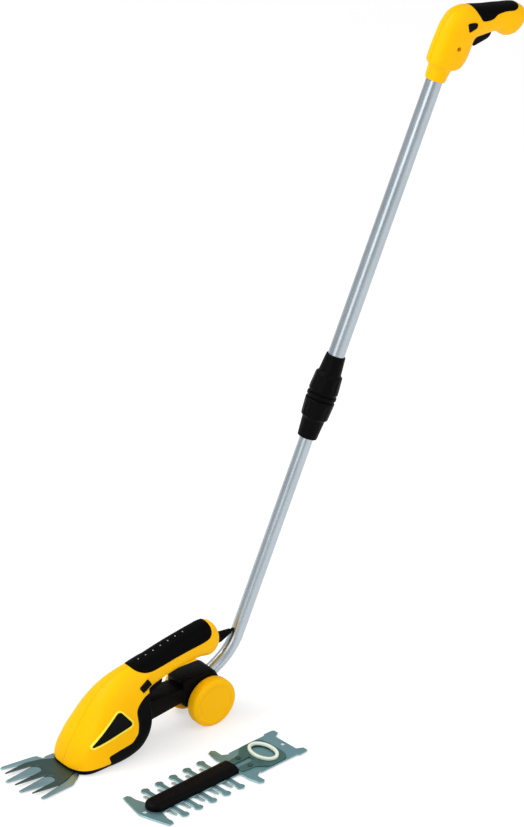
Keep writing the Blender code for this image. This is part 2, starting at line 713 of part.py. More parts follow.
def blade_outline():
    """Outline of the moving blade: three thin pointed teeth on a fan, and a driven tail."""
    spacing = COMB_TOOTH_SPACING
    root = -252.0
    outline = [(-15.0, -153.0), (-15.0, -206.0), (-22.0, -216.0), (-30.0, -232.0),
               (-33.5, -246.0)]
    for k, tip in ((-1, -287.0), (0, -293.0), (1, -287.0)):
        x = k * spacing
        outline += [(x - 5.4, root), (x - 1.2, tip + 2.0), (x, tip), (x + 1.2, tip + 2.0),
                    (x + 5.4, root)]
        if k < 1:
            outline += [(x + 7.5, root + 6.5), (x + 11.5, root + 10.0),
                        (x + spacing - 11.5, root + 10.0), (x + spacing - 7.5, root + 6.5)]
    outline += [(-x, y) for x, y in outline[4::-1]]
    return outline


def build_blades():
    """Fixed comb, moving blade and the pin that the moving blade turns on."""
    comb = piece("blade_comb", prism(
        comb_outline(), COMB_BOTTOM, COMB_BOTTOM + COMB_THICKNESS, "Z"), STEEL)
    hole = guide("pivot_hole", rod((0, PIVOT_Y, -5), (0, PIVOT_Y, 20), PIVOT_RADIUS + GAP, 20))
    combine(comb, hole)
    hinge = joint_empty("moving_blade_axis", (0, PIVOT_Y, BLADE_BOTTOM))
    blade = piece("moving_blade", prism(
        blade_outline(), BLADE_BOTTOM, BLADE_BOTTOM + BLADE_THICKNESS, "Z"), DARK_STEEL, hinge)
    combine(blade, hole)
    pin_sweep = ECCENTRIC + ECCENTRIC_PIN_RADIUS + 2 * GAP
    swing = (GEAR_Y - PIVOT_Y) * math.sin(BLADE_SWING)
    combine(blade, guide("drive_window", box(
        (-pin_sweep - swing, GEAR_Y - pin_sweep - GAP, -5.0),
        (pin_sweep + swing, GEAR_Y + pin_sweep + GAP, 20.0))))
    top = BLADE_BOTTOM + BLADE_THICKNESS + GAP
    piece("blade_pivot_pin", turned(
        [(0, COMB_BOTTOM), (PIVOT_RADIUS, COMB_BOTTOM), (PIVOT_RADIUS, top), (6.2, top),
         (6.2, top + 1.2), (5.2, top + 2.0), (0, top + 2.0)], (0, PIVOT_Y, 0), (0, 0, 1), 20), STEEL)


def gear_outline(teeth, centre_y, turn):
    """Straight-flanked teeth round a pitch circle, thin enough to leave backlash."""
    pitch = GEAR_MODULE * teeth / 2
    outline = []
    for k in range(teeth):
        middle = turn + 2 * math.pi * k / teeth
        root = pitch - 1.2 * GEAR_MODULE
        tip = pitch + 0.85 * GEAR_MODULE
        for radius, half_share in ((root, -0.32), (tip, -0.13), (tip, 0.13), (root, 0.32)):
            angle = middle + half_share * 2 * math.pi / teeth
            outline.append((radius * math.cos(angle), centre_y + radius * math.sin(angle)))
    return outline


PINION_Y = GEAR_Y + GEAR_MODULE * (GEAR_TEETH + PINION_TEETH) / 2
GEAR_TOP = GEAR_BOTTOM + GEAR_HEIGHT
FRAME_BOTTOM = GEAR_TOP + 2 * GAP
FRAME_THICKNESS = 2.0
FRAME_HALF_WIDTH = 26.5
FRAME_TOP = FRAME_BOTTOM + FRAME_THICKNESS
GEAR_AXLE_RADIUS = 2.0


def build_drive():
    """Motor, pinion, eccentric gear and the frame that carries them."""
    hinge = joint_empty("drive_gear_axis", (0, GEAR_Y, GEAR_BOTTOM))
    gear = piece("drive_gear", prism(
        gear_outline(GEAR_TEETH, GEAR_Y, math.pi / 2), GEAR_BOTTOM, GEAR_TOP, "Z"), PALE_PLASTIC,
        hinge, 20.0)
    bore = guide("gear_bore", rod(
        (0, GEAR_Y, 0), (0, GEAR_Y, 40), GEAR_AXLE_RADIUS + GAP, 16))
    pin_y = GEAR_Y + ECCENTRIC
    combine(gear, guide("eccentric_pin", rod(
        (0, pin_y, BLADE_BOTTOM), (0, pin_y, GEAR_BOTTOM + 1.0), ECCENTRIC_PIN_RADIUS, 14)), "UNION")
    combine(gear, bore)
    shaft_hinge = joint_empty("motor_pinion_axis", (0, PINION_Y, GEAR_BOTTOM))
    facing = -math.pi / 2 + math.pi / PINION_TEETH
    pinion = piece("motor_pinion", prism(
        gear_outline(PINION_TEETH, PINION_Y, facing), GEAR_BOTTOM, GEAR_TOP, "Z"), BRASS,
        shaft_hinge, 20.0)
    shaft_top = FRAME_TOP + GAP + 6.0
    combine(pinion, guide("motor_shaft", rod(
        (0, PINION_Y, GEAR_BOTTOM + 1.0), (0, PINION_Y, shaft_top), 1.5, 12)), "UNION")
    legs_end = PINION_Y - 7.0
    half = FRAME_HALF_WIDTH
    plate = [(-half, -183.0), (half, -183.0), (half, legs_end), (14.0, legs_end),
             (14.0, PINION_Y + 9.0), (-14.0, PINION_Y + 9.0), (-14.0, legs_end), (-half, legs_end)]
    frame = piece("gearbox_frame", prism(plate, COMB_BOTTOM, FRAME_TOP, "Z"), STEEL)
    inside = half - FRAME_THICKNESS
    combine(frame, guide("frame_space", box((-inside, -190.0, -1.0), (inside, -120.0, FRAME_BOTTOM))))
    combine(frame, guide("frame_axle_hole", rod(
        (0, GEAR_Y, 0), (0, GEAR_Y, 40), GEAR_AXLE_RADIUS + GAP, 16)))
    combine(frame, guide("frame_shaft_hole", rod(
        (0, PINION_Y, 0), (0, PINION_Y, 40), 4.0, 16)))
    piece("gear_axle", turned(
        [(0, GEAR_BOTTOM + GAP), (GEAR_AXLE_RADIUS, GEAR_BOTTOM + GAP),
         (GEAR_AXLE_RADIUS, FRAME_TOP + GAP), (3.6, FRAME_TOP + GAP), (3.6, FRAME_TOP + 1.6),
         (0, FRAME_TOP + 1.6)], (0, GEAR_Y, 0), (0, 0, 1), 16), STEEL)
    low = FRAME_TOP + GAP
    piece("motor", turned(
        [(0, low + 6.6), (1.8, low + 6.6), (1.8, low), (MOTOR_RADIUS - 1.5, low),
         (MOTOR_RADIUS, low + 1.5), (MOTOR_RADIUS, low + MOTOR_LENGTH - 2.0),
         (MOTOR_RADIUS - 2.0, low + MOTOR_LENGTH), (5.0, low + MOTOR_LENGTH),
         (5.0, low + MOTOR_LENGTH + 2.5), (0, low + MOTOR_LENGTH + 2.5)],
        (0, PINION_Y, 0), (0, 0, 1), 24), DARK_STEEL)


def coil_spring(place, low, high, radius, wire, turns):
    """A wound spring that stands upright: a thin tube along a helix."""
    steps = turns * 9
    ring_count = 5
    rings = []
    for k in range(steps + 1):
        angle = 2 * math.pi * k / 9
        height = low + wire + (high - low - 2 * wire) * k / steps
        out = np.array((math.cos(angle), math.sin(angle), 0.0))
        middle = np.array((place[0], place[1], height)) + radius * out
        ring = [middle + wire * (math.cos(a) * out + math.sin(a) * np.array((0, 0, 1.0)))
                for a in 2 * math.pi * np.arange(ring_count) / ring_count]
        rings.append(np.array(ring))
    return loft(rings)


def build_power():
    """Battery cell, circuit board, trigger switch with its spring, and charging socket."""
    slope = np.array((math.cos(BATTERY_SLOPE), math.sin(BATTERY_SLOPE)))
    piece("battery_cell", turned(
        [(0, 0), (BATTERY_RADIUS - 0.6, 0), (BATTERY_RADIUS, 0.6),
         (BATTERY_RADIUS, BATTERY_LENGTH - 1.4), (BATTERY_RADIUS - 0.6, BATTERY_LENGTH - 0.8),
         (3.0, BATTERY_LENGTH - 0.8), (3.0, BATTERY_LENGTH), (0, BATTERY_LENGTH)],
        (0, *BATTERY_START), (0, *slope), 20), CELL_SLEEVE)
    board_centre = np.array(BATTERY_START) - (GAP + 0.8) * slope
    board = turned_rectangle(board_centre, 0.8, 7.0, BATTERY_SLOPE)
    piece("circuit_board", prism(board, -10.0, 10.0), BOARD_GREEN)
    upright = np.array((-slope[1], slope[0]))
    switch_centre = board_centre - (0.8 + GAP + 9.5) * slope - 2.4 * upright
    switch = turned_rectangle(switch_centre, 9.5, 3.4, BATTERY_SLOPE)
    piece("trigger_switch", prism(switch, -4.5, 4.5), BLACK)
    spring_y = -79.5
    spring_top = 95.7
    piece("shear_spring", coil_spring((0, spring_y), 86.8, spring_top, 2.4, 0.45, 4), STEEL)
    axis = np.array(SOCKET_STOP) - np.array(SOCKET_START)
    length = np.linalg.norm(axis)
    piece("charging_socket", turned(
        [(0, 0), (SOCKET_RADIUS, 0), (SOCKET_RADIUS, length), (3.3, length), (3.3, 4.0), (0, 4.0)],
        (0, *SOCKET_START), (0, *axis), 16), BLACK)
    for k, place in enumerate(SHEAR_BOSSES):
        screw(f"housing_screw_{k + 1}", place, -1)


AXLE_Z = WHEEL_RADIUS
CARRIAGE_OUTLINE = rounded([
    (-38.0, 34.5), (-24.0, 26.0), (-8.0, 21.5), (8.0, 22.0), (19.0, 30.0), (26.5, 46.0),
    (13.0, 71.0), (-38.0, 71.0),
], 4.0, 2)
TONGUE_OUTLINE = [(-118.0, 28.0), (-95.0, 30.0), (-30.0, 40.0), (-30.0, 60.0), (-118.0, 60.0)]


def lower_tube_path():
    """(Y, Z) points of the lower tube's axis: a straight foot, one bend, and the straight pole."""
    entry = np.array((math.cos(TUBE_ENTRY_ANGLE), math.sin(TUBE_ENTRY_ANGLE)))
    axis = np.array(POLE_AXIS)
    turn = math.pi / 2 - POLE_TILT - TUBE_ENTRY_ANGLE
    corner = np.array(on_pole(-53.8))
    reach = TUBE_BEND_RADIUS * math.tan(turn / 2)
    centre = corner - reach * entry + TUBE_BEND_RADIUS * np.array((-entry[1], entry[0]))
    path = [corner - TUBE_IN_CARRIAGE * entry]
    for k in range(8):
        angle = TUBE_ENTRY_ANGLE - math.pi / 2 + turn * k / 7
        path.append(centre + TUBE_BEND_RADIUS * np.array((math.cos(angle), math.sin(angle))))
    path.append(np.array(on_pole(UPPER_TUBE_START + TUBE_OVERLAP)))
    return path, axis


UPPER_TUBE_START = COLLAR_START + COLLAR_HALF + COLLAR_RING + GAP * 2 + 3.0


def build_carriage():
    """Black carriage halves, axle, wheels and the bent lower tube."""
    path, _ = lower_tube_path()
    form = guide("carriage_form", prism(CARRIAGE_OUTLINE, -HUB_HALF_WIDTH, HUB_HALF_WIDTH))
    bevel(form, 3.0, 2)
    tongue = guide("tongue_form", prism(TONGUE_OUTLINE, -TONGUE_HALF_WIDTH, TONGUE_HALF_WIDTH))
    bevel(tongue, 3.0, 2)
    combine(form, tongue, "UNION")
    combine(form, shear_clear)
    foot = path[0]
    far = foot + 60.0 * np.array((math.cos(TUBE_ENTRY_ANGLE), math.sin(TUBE_ENTRY_ANGLE)))
    back = foot - 0.3 * np.array((math.cos(TUBE_ENTRY_ANGLE), math.sin(TUBE_ENTRY_ANGLE)))
    combine(form, guide("tube_bore", rod((0, *back), (0, *far), LOWER_TUBE_RADIUS + GAP, 20)))
    combine(form, guide("axle_bore", rod((-40, 0, AXLE_Z), (40, 0, AXLE_Z), AXLE_RADIUS + GAP, 16)))
    for name, low, high in (("carriage_left", GAP / 2, 40.0), ("carriage_right", -40.0, -GAP / 2)):
        half = piece(name, box((low, -130.0, 10.0), (high, 60.0, 100.0)), BLACK)
        combine(half, form, "INTERSECT")
    reach = WHEEL_SPACING / 2 + WHEEL_WIDTH / 2 - 2.6
    piece("axle", rod((-reach, 0, AXLE_Z), (reach, 0, AXLE_Z), AXLE_RADIUS, 16), STEEL)
    inner = WHEEL_SPACING / 2 - WHEEL_WIDTH / 2
    outer = WHEEL_SPACING / 2 + WHEEL_WIDTH / 2
    profile = [
        (0, reach + GAP), (AXLE_RADIUS + GAP, reach + GAP), (AXLE_RADIUS + GAP, inner),
        (11.0, inner), (11.0, inner + 4.0), (27.5, inner + 4.0), (27.5, inner), (31.0, inner),
        (WHEEL_RADIUS, inner + 2.5), (WHEEL_RADIUS, outer - 4.0), (WHEEL_RADIUS - 1.2, outer - 1.6),
        (WHEEL_RADIUS - 4.0, outer), (18.0, outer + 1.0), (0, outer + 1.3),
    ]
    for name, side in (("wheel_left", 1), ("wheel_right", -1)):
        hinge = joint_empty(name + "_axis", (side * WHEEL_SPACING / 2, 0, AXLE_Z))
        piece(name, turned(profile, (0, 0, AXLE_Z), (side, 0, 0), 32), YELLOW, hinge)
    tube = piece("lower_tube", swept(
        path, LOWER_TUBE_RADIUS, LOWER_TUBE_RADIUS - TUBE_WALL, 20), ALUMINIUM)
    combine(tube, guide("cable_hole", rod(
        (0, *CABLE_EXIT), (0, *(np.array(CABLE_EXIT) + 13.0 * PLUG_DIRECTION)),
        CABLE_RADIUS + 5 * GAP, 12)))


RELIEF_LENGTH = 17.0
CABLE_EXIT = tuple(np.array(SOCKET_STOP) + (GAP + PLUG_COLLAR + GAP + RELIEF_LENGTH - 1.0)
                   * PLUG_DIRECTION)


def build_lead():
    """Plug in the handle's end, ribbed strain relief, and the lead up the lower tube."""
    start = np.array(SOCKET_STOP)
    piece("cable_plug", turned(
        [(0, -8.0), (3.0, -8.0), (3.0, GAP), (PLUG_RADIUS, GAP), (PLUG_RADIUS, GAP + PLUG_COLLAR),
         (0, GAP + PLUG_COLLAR)], (0, *start), (0, *PLUG_DIRECTION), 16), BLACK)
    base = 2 * GAP + PLUG_COLLAR
    ribs = 4
    pitch = RELIEF_LENGTH / ribs
    outer = []
    for k in range(ribs):
        radius = 6.9 - 3.1 * k / (ribs - 1)
        outer += [(radius, base + k * pitch), (radius - 0.3, base + (k + 0.55) * pitch),
                  (radius - 0.9, base + (k + 0.6) * pitch), (radius - 0.9, base + (k + 0.95) * pitch)]
    bore = CABLE_RADIUS + GAP
    inner_start = base + RELIEF_LENGTH - 6.0
    profile = [(0, base)] + outer + [(bore, outer[-1][1]), (bore, inner_start), (0, inner_start)]
    piece("strain_relief", turned(profile, (0, *start), (0, *PLUG_DIRECTION), 12), BLACK)
    enter = start + (inner_start + GAP) * PLUG_DIRECTION
    route = [enter, enter + 5.0 * PLUG_DIRECTION, enter + 10.0 * PLUG_DIRECTION,
             enter + 14.5 * PLUG_DIRECTION, on_pole(3.0, -1.5), on_pole(34.0, 0.0)]
    route += [on_pole(34.0 + 100.0 * k, 0.0) for k in range(1, 4)]
    route.append(on_pole(UPPER_TUBE_START + TUBE_OVERLAP - 4.0, 0.0))
    route = smooth_rows(route, 3)
    piece("lower_cable", swept(route, CABLE_RADIUS, 0.0, 8), BLACK)


def pole_point(along):
    """A point on the pole's axis, in space."""
    return (0, *on_pole(along))


POLE_SLIDE = joint_empty("pole_slide_axis", pole_point(UPPER_TUBE_START))
NUT_HINGE = joint_empty("collar_nut_axis", pole_point(COLLAR_START))
POLE_DIRECTION = (0, *POLE_AXIS)


def build_telescope():
    """Twist-lock collar, its clamp sleeve, and the upper tube."""
    lower_bore = LOWER_TUBE_RADIUS + GAP
    upper_bore = UPPER_TUBE_RADIUS + GAP
    half = COLLAR_HALF
    lip = 16.0
    nut = [(lower_bore, 0), (12.2, 0), (12.9, 1.6), (15.1, 27.0), (17.7, 29.5), (19.4, half - 3.0),
           (18.6, half), (upper_bore, half), (upper_bore, lip), (lower_bore, lip)]
    piece("collar_nut", turned(nut, pole_point(COLLAR_START), POLE_DIRECTION, 24), BLACK, NUT_HINGE)
    ring_start = COLLAR_START + half + GAP
    ring = [(upper_bore, 0), (17.0, 0), (17.0, 2.4), (19.5, 2.9), (19.5, 6.3), (17.0, 6.8),
            (17.0, COLLAR_RING), (upper_bore, COLLAR_RING)]
    piece("collar_ring", turned(ring, pole_point(ring_start), POLE_DIRECTION, 24), BLACK, POLE_SLIDE)
    body_start = ring_start + COLLAR_RING + GAP
    top = half - 1.7
    body = [(upper_bore, 0), (18.6, 0), (19.4, 3.0), (17.7, half - 29.5), (15.1, half - 27.0),
            (12.9, top - 1.6), (12.2, top), (upper_bore, top)]
    piece("collar_body", turned(body, pole_point(body_start), POLE_DIRECTION, 24), BLACK, POLE_SLIDE)
    clamp_start = COLLAR_START + lip + GAP
    clamp = sleeve(pole_point(clamp_start), pole_point(UPPER_TUBE_START - GAP),
                   UPPER_TUBE_RADIUS, lower_bore, 24)
    clamp_sleeve = piece("clamp_sleeve", clamp, PALE_PLASTIC, POLE_SLIDE)
    y, z = on_pole(clamp_start + 10.0, -12.0)
    ey, ez = on_pole(UPPER_TUBE_START + 5.0, -12.0)
    combine(clamp_sleeve, guide("clamp_split", prism(
        [(y - 6, z + 3), (y + 6, z - 3), (ey + 6, ez - 3), (ey - 6, ez + 3)], -1.0, 1.0)))
    piece("upper_tube", sleeve(
        pole_point(UPPER_TUBE_START), pole_point(NECK_START + NECK_DEPTH), UPPER_TUBE_RADIUS,
        UPPER_TUBE_RADIUS - TUBE_WALL, 24), ALUMINIUM, POLE_SLIDE)
    end = UPPER_TUBE_START + TUBE_OVERLAP
    spigot = LOWER_TUBE_RADIUS - TUBE_WALL - GAP
    flange = UPPER_TUBE_RADIUS - TUBE_WALL - GAP
    piece("tube_bush", turned(
        [(5.0, -8.0), (spigot, -8.0), (spigot, GAP), (flange, GAP), (flange, 6.0), (5.0, 6.0)],
        pole_point(end), POLE_DIRECTION, 20), PALE_PLASTIC)


HANDLE_GRIP_OUTLINE = rounded([on_handle(*p) for p in (
    (140.0, 4.0), (111.0, 13.5), (103.5, 20.5), (94.0, 30.5), (96.0, 40.5), (98.5, 47.5),
    (105.0, 52.5), (110.0, 66.5), (112.5, 82.0), (118.0, 90.0), (140.0, 92.0))], 4.0, 2)
HANDLE_TRIGGER_PIVOT = on_handle(87.4, 56.2)
HANDLE_TRIGGER_OUTLINE = rounded([on_handle(*p) for p in (
    (58.0, 36.6), (55.6, 39.2), (67.8, 57.5), (72.0, 61.0), (84.0, 61.5), (91.0, 59.8),
    (91.5, 54.5), (86.0, 44.0), (83.5, 36.4), (72.0, 36.2))], 1.4, 1)
HANDLE_TRIGGER_SLOT = [on_handle(*p) for p in (
    (53.5, 32.5), (88.5, 29.6), (95.0, 50.0), (95.0, 62.8), (70.0, 64.0), (51.5, 41.5))]
HANDLE_LOCK_OUTLINE = rounded([on_handle(*p) for p in (
    (88.6, 6.0), (91.0, 14.0), (91.0, 22.0), (84.8, 22.6), (77.4, 12.5))], 2.0, 2)
HANDLE_LOCK_CENTRE = on_handle(85.5, 14.5)
HANDLE_BOSSES = [(on_handle(54.0, 5.0), 1), (on_handle(93.0, 85.0), -1)]
HANDLE_SKIN = handle_form(0.0, 0.0)


def build_handle():
    """Upper pistol handle: two halves, soft inlay, trigger, lock button, switch and lead."""
    handle_inner = guide("handle_inner", handle_form(HEAD_WALL, HANDLE_WALL))
    handle_middle = guide("handle_middle", handle_form(HEAD_WALL / 2, HANDLE_WALL - 0.9))
    form = guide("handle_shape", HANDLE_SKIN)
    combine(form, handle_inner)
    block = guide("handle_trigger_block", prism(
        [on_handle(*p) for p in ((80.0, 51.0), (93.0, 51.0), (93.0, 61.2), (80.0, 61.2))],
        -30.0, 30.0))
    rest = guide("handle_switch_rest", prism(
        [on_handle(*p) for p in ((100.0, 36.0), (112.0, 36.0), (112.0, 45.0), (100.0, 45.0))],
        -4.0, 4.0))
    for extra in (block, rest):
        combine(extra, handle_middle, "INTERSECT")
        combine(form, extra, "UNION")
    bores = [boss(form, f"handle_boss_{k}", place, side, handle_middle)
             for k, (place, side) in enumerate(HANDLE_BOSSES)]
    y, z = HANDLE_TRIGGER_PIVOT
    reach = TRUNNION_REACH + GAP
    slot = TRIGGER_HALF_WIDTH - 1.0 + 2 * GAP
    grip_seat = guide("handle_grip_seat", handle_form(GRIP_THICKNESS + GAP, GRIP_THICKNESS + GAP))
    cutters = [
        side_cutter("handle_grip_recess", grown(HANDLE_GRIP_OUTLINE, GAP), grip_seat),
        guide("handle_tube_bore", rod(
            pole_point(NECK_START - 10.0), pole_point(NECK_START + NECK_DEPTH + GAP),
            UPPER_TUBE_RADIUS + GAP, 24)),
        guide("handle_trigger_slot", prism(HANDLE_TRIGGER_SLOT, -slot, slot)),
        guide("handle_trunnion_hole", rod((-reach, y, z), (reach, y, z), TRUNNION_RADIUS + GAP, 12)),
        guide("handle_lock_hole", prism(grown(HANDLE_LOCK_OUTLINE, GAP), 5.0, 60.0)),
    ]
    for cutter in cutters + bores:
        combine(form, cutter)
    for name, low, high in (("handle_left", GAP / 2, 40.0), ("handle_right", -40.0, -GAP / 2)):
        half = piece(name, box((low, 300.0, 700.0), (high, 600.0, 1000.0)), YELLOW, POLE_SLIDE)
        combine(half, form, "INTERSECT")
    grip = piece("handle_grip", prism(HANDLE_GRIP_OUTLINE, -60.0, 60.0), SOFT_BLACK, POLE_SLIDE)
    combine(grip, guide("handle_proud", handle_form(-GRIP_PROUD, -GRIP_PROUD)), "INTERSECT")
    combine(grip, guide("handle_under_grip", handle_form(GRIP_THICKNESS, GRIP_THICKNESS)))
    hinge = joint_empty("handle_trigger_axis", (0, y, z))
    width = TRIGGER_HALF_WIDTH - 1.0
    trigger = piece("handle_trigger", prism(HANDLE_TRIGGER_OUTLINE, -width, width), BLACK, hinge)
    combine(trigger, guide("handle_trunnions", rod(
        (-TRUNNION_REACH, y, z), (TRUNNION_REACH, y, z), TRUNNION_RADIUS, 12)), "UNION")
    skin = skin_reach(HANDLE_SKIN, *HANDLE_LOCK_CENTRE) + BUTTON_PROUD
    slide = joint_empty("handle_lock_axis", (skin, *HANDLE_LOCK_CENTRE))
    button = piece("handle_lock_button", prism(
        HANDLE_LOCK_OUTLINE, skin - 10.0, skin), BLACK, slide)
    bevel(button, 0.6, 1)
    switch = [on_handle(*p) for p in ((93.7, 34.0), (99.7, 34.0), (99.7, 47.0), (93.7, 47.0))]
    piece("handle_switch", prism(switch, -4.5, 4.5), BLACK, POLE_SLIDE)
    route = [on_handle(*p) for p in (
        (96.5, 33.2), (96.5, 29.0), (95.0, 16.0), (85.0, 2.0), (70.0, -7.0), (54.0, -8.0),
        (42.0, -5.0), (28.0, -1.0), (10.0, 0.0), (-20.0, 0.0), (-50.0, 0.0), (-80.0, 0.0))]
    piece("upper_cable", swept(smooth_rows(route, 2), CABLE_RADIUS, 0.0, 8), BLACK, POLE_SLIDE)
    for k, (place, side) in enumerate(HANDLE_BOSSES):
        screw(f"handle_screw_{k + 1}", place, side, POLE_SLIDE)


SHRUB_AXIS = (-math.sin(SHRUB_TURN), math.cos(SHRUB_TURN))
SHRUB_SIDE = (math.cos(SHRUB_TURN), math.sin(SHRUB_TURN))


def on_shrub(along, side):
    """The (X, Y) of a point along the shrub blade from its nose and to its right."""
    return (
        SHRUB_NOSE[0] + along * SHRUB_AXIS[0] + side * SHRUB_SIDE[0],
        SHRUB_NOSE[1] + along * SHRUB_AXIS[1] + side * SHRUB_SIDE[1],
    )


def both_sides(half):
    """Close an outline that is given for one side, nose to tail, by mirroring it."""
    return half + [(u, -v) for u, v in reversed(half)]


SHRUB_FIRST_TOOTH = 44.0
SHRUB_BAR_END = 159.0
CUTTER_TOP = 1.3
SHRUB_COMB_BOTTOM = CUTTER_TOP + GAP
SHRUB_COMB_TOP = SHRUB_COMB_BOTTOM + SHRUB_PLATE
SLIDER_BOTTOM = SHRUB_COMB_TOP + GAP
SLIDER_TOP = SLIDER_BOTTOM + SHRUB_PLATE
RIVET_PLACES = [(181.0, -11.5), (181.0, 11.5)]


def shrub_teeth(first, reach, head, neck, root):
    """Arrow-headed teeth along one side, nose to tail."""
    half = []
    for k in range(SHRUB_TEETH):
        u = first + k * SHRUB_TOOTH_PITCH
        half += [(u - neck, root), (u - neck, reach - 9.5), (u - head, reach - 7.0),
                 (u - head, reach - 3.0), (u - 1.5, reach), (u + 1.5, reach),
                 (u + head, reach - 3.0), (u + head, reach - 7.0), (u + neck, reach - 9.5),
                 (u + neck, root)]
    return half


def build_shrub_blade():
    """Spare blade lying on the ground: comb, cutter, drive plate and cover bar."""
    reach = SHRUB_HALF_WIDTH
    half = [(0.0, 3.0), (3.5, 16.0), (8.0, 33.0), (11.5, reach + 1.5), (19.0, reach + 1.5),
            (21.5, reach - 4.0), (21.0, 30.0), (25.0, 17.0)]
    half += shrub_teeth(SHRUB_FIRST_TOOTH, reach, 6.1, 4.2, 15.0)
    hook = SHRUB_FIRST_TOOTH + SHRUB_TEETH * SHRUB_TOOTH_PITCH
    half += [(hook - 5.0, 15.0), (hook - 5.0, 32.0), (hook - 1.0, reach + 5.5),
             (hook + 5.0, reach + 8.0), (hook + 9.5, reach + 4.0), (hook + 9.0, 33.5),
             (hook + 17.0, 28.5), (hook + 19.0, 31.0), (244.0, 31.0), (246.5, 33.5),
             (259.0, 33.0), (262.0, 31.0), (262.0, 24.0), (257.5, 21.5), (253.5, 19.5)]
    lift = joint_empty("shrub_blade_axis", (*on_shrub(130.0, 0.0), 0.0))
    comb = piece("shrub_comb", prism(
        [on_shrub(u, v) for u, v in both_sides(half)], SHRUB_COMB_BOTTOM, SHRUB_COMB_TOP, "Z"),
        STEEL, lift)
    combine(comb, guide("nose_hole", rod(
        (*on_shrub(9.0, 0.0), -5), (*on_shrub(9.0, 0.0), 20), 3.2, 14)))
    square = [on_shrub(u, v) for u, v in ((245, -3), (250.5, -3), (250.5, 3), (245, 3))]
    combine(comb, guide("square_hole", prism(square, -5, 20, "Z")))
    drive = joint_empty("shrub_drive_axis", (*on_shrub(214.0, 0.0), SLIDER_BOTTOM))
    half = [(24.0, 6.0), (28.0, 10.0)]
    half += shrub_teeth(SHRUB_FIRST_TOOTH - SHRUB_TOOTH_PITCH * 0.34, reach - 11.8, 3.4, 3.4, 14.0)
    half += [(190.0, 14.0), (194.0, 10.0)]
    cutter = piece("shrub_cutter", prism(
        [on_shrub(u, v) for u, v in both_sides(half)], 0.0, CUTTER_TOP, "Z"), DARK_STEEL, drive)
    neck = [(164.5, 13.0), (166.0, 15.0), (186.0, 17.0), (194.0, 24.0), (199.0, 29.0),
            (226.0, 29.0), (232.5, 24.0), (235.0, 12.0)]
    slider = piece("shrub_slider", prism(
        [on_shrub(u, v) for u, v in both_sides(neck)], SLIDER_BOTTOM, SLIDER_TOP, "Z"), STEEL, drive)
    ring_centre = 214.0
    ring_half = (16.0, 23.8)
    angles = 2 * math.pi * np.arange(24) / 24

    def oval(long_half, short_half):
        return [on_shrub(ring_centre + long_half * math.cos(a), short_half * math.sin(a))
                for a in angles]

    combine(slider, guide("ring_seat", prism(
        oval(ring_half[0] - 2.2, ring_half[1] - 2.2), -5, 20, "Z")))
    fork = [on_shrub(u, v) for u, v in ((160, -4.5), (194, -4.5), (194, 4.5), (160, 4.5))]
    combine(slider, guide("neck_slot", prism(fork, -5, 20, "Z")))
    ring = piece("shrub_drive_ring", prism(
        oval(*ring_half), SLIDER_TOP + GAP, SLIDER_TOP + 3.6, "Z"), PALE_PLASTIC, drive)
    combine(ring, guide("ring_window", prism(
        oval(ring_half[0] - 4.4, ring_half[1] - 4.4), -5, 20, "Z")))
    for k, (u, v) in enumerate(RIVET_PLACES):
        x, y = on_shrub(u, v)
        hole = guide(f"rivet_hole_{k}", rod((x, y, -5), (x, y, 20), 2.2 + GAP, 12))
        combine(slider, hole)
        combine(cutter, hole)
        slot = [on_shrub(u + a, v + b) for a, b in ((-8, -2.8), (8, -2.8), (8, 2.8), (-8, 2.8))]
        combine(comb, guide(f"rivet_slot_{k}", prism(slot, -5, 20, "Z")))
        top = SLIDER_TOP + GAP
        piece(f"shrub_rivet_{k + 1}", turned(
            [(0, 0.2), (2.2, 0.2), (2.2, top), (3.6, top), (3.6, top + 1.0), (0, top + 1.0)],
            (x, y, 0), (0, 0, 1), 12), DARK_STEEL, drive)
    bar_front = 14.5
    bar_half = 14.5
    outline = [(SHRUB_BAR_END, -bar_half), (SHRUB_BAR_END, bar_half)]
    for k in range(9):
        angle = math.pi / 2 - math.pi * k / 8
        outline.append((bar_front + bar_half - bar_half * math.cos(angle) * 1.0,
                        bar_half * math.sin(angle)))
    bar = piece("shrub_cover", prism(
        [on_shrub(u, v) for u, v in outline], SHRUB_COMB_TOP + GAP, SHRUB_COMB_TOP + 9.5, "Z"),
        BLACK, lift)
    bevel(bar, 2.6, 2)


def stand_on_origin():
    """Shift everything so that the origin is the middle of the footprint."""
    bpy.context.view_layer.update()
    graph = bpy.context.evaluated_depsgraph_get()
    corners = []
    for item in bpy.data.objects:
        if item.type != "MESH" or item.hide_render:
            continue
        solid = item.evaluated_get(graph)
        mesh = solid.to_mesh()
        values = np.empty(len(mesh.vertices) * 3)
        mesh.vertices.foreach_get("co", values)
        values = values.reshape(-1, 3) + np.array(item.matrix_world.translation)
        corners += [values.min(axis=0), values.max(axis=0)]
        solid.to_mesh_clear()
    low = np.min(corners, axis=0)
    high = np.max(corners, axis=0)
    ROOT.location = (-(low[0] + high[0]) / 2, -(low[1] + high[1]) / 2, -low[2])
    bpy.context.view_layer.update()
    print("shift", tuple(ROOT.location), "size", tuple(high - low))


build_housing()
build_shear_skins()
build_shear_controls()
build_blades()
build_drive()
build_power()
build_carriage()
build_lead()
build_telescope()
build_handle()
build_shrub_blade()
stand_on_origin()
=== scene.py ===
"""Looks of the cordless grass shears: their surfaces, finishes, light and camera.

Lengths are millimetres in the part's build frame, where X = 0 is the middle plane of the shears,
Y = 0 the wheels' axle, Z = 0 the ground, and the blades point to -Y. in_frame() turns them into
the frame's metres.
"""

import math

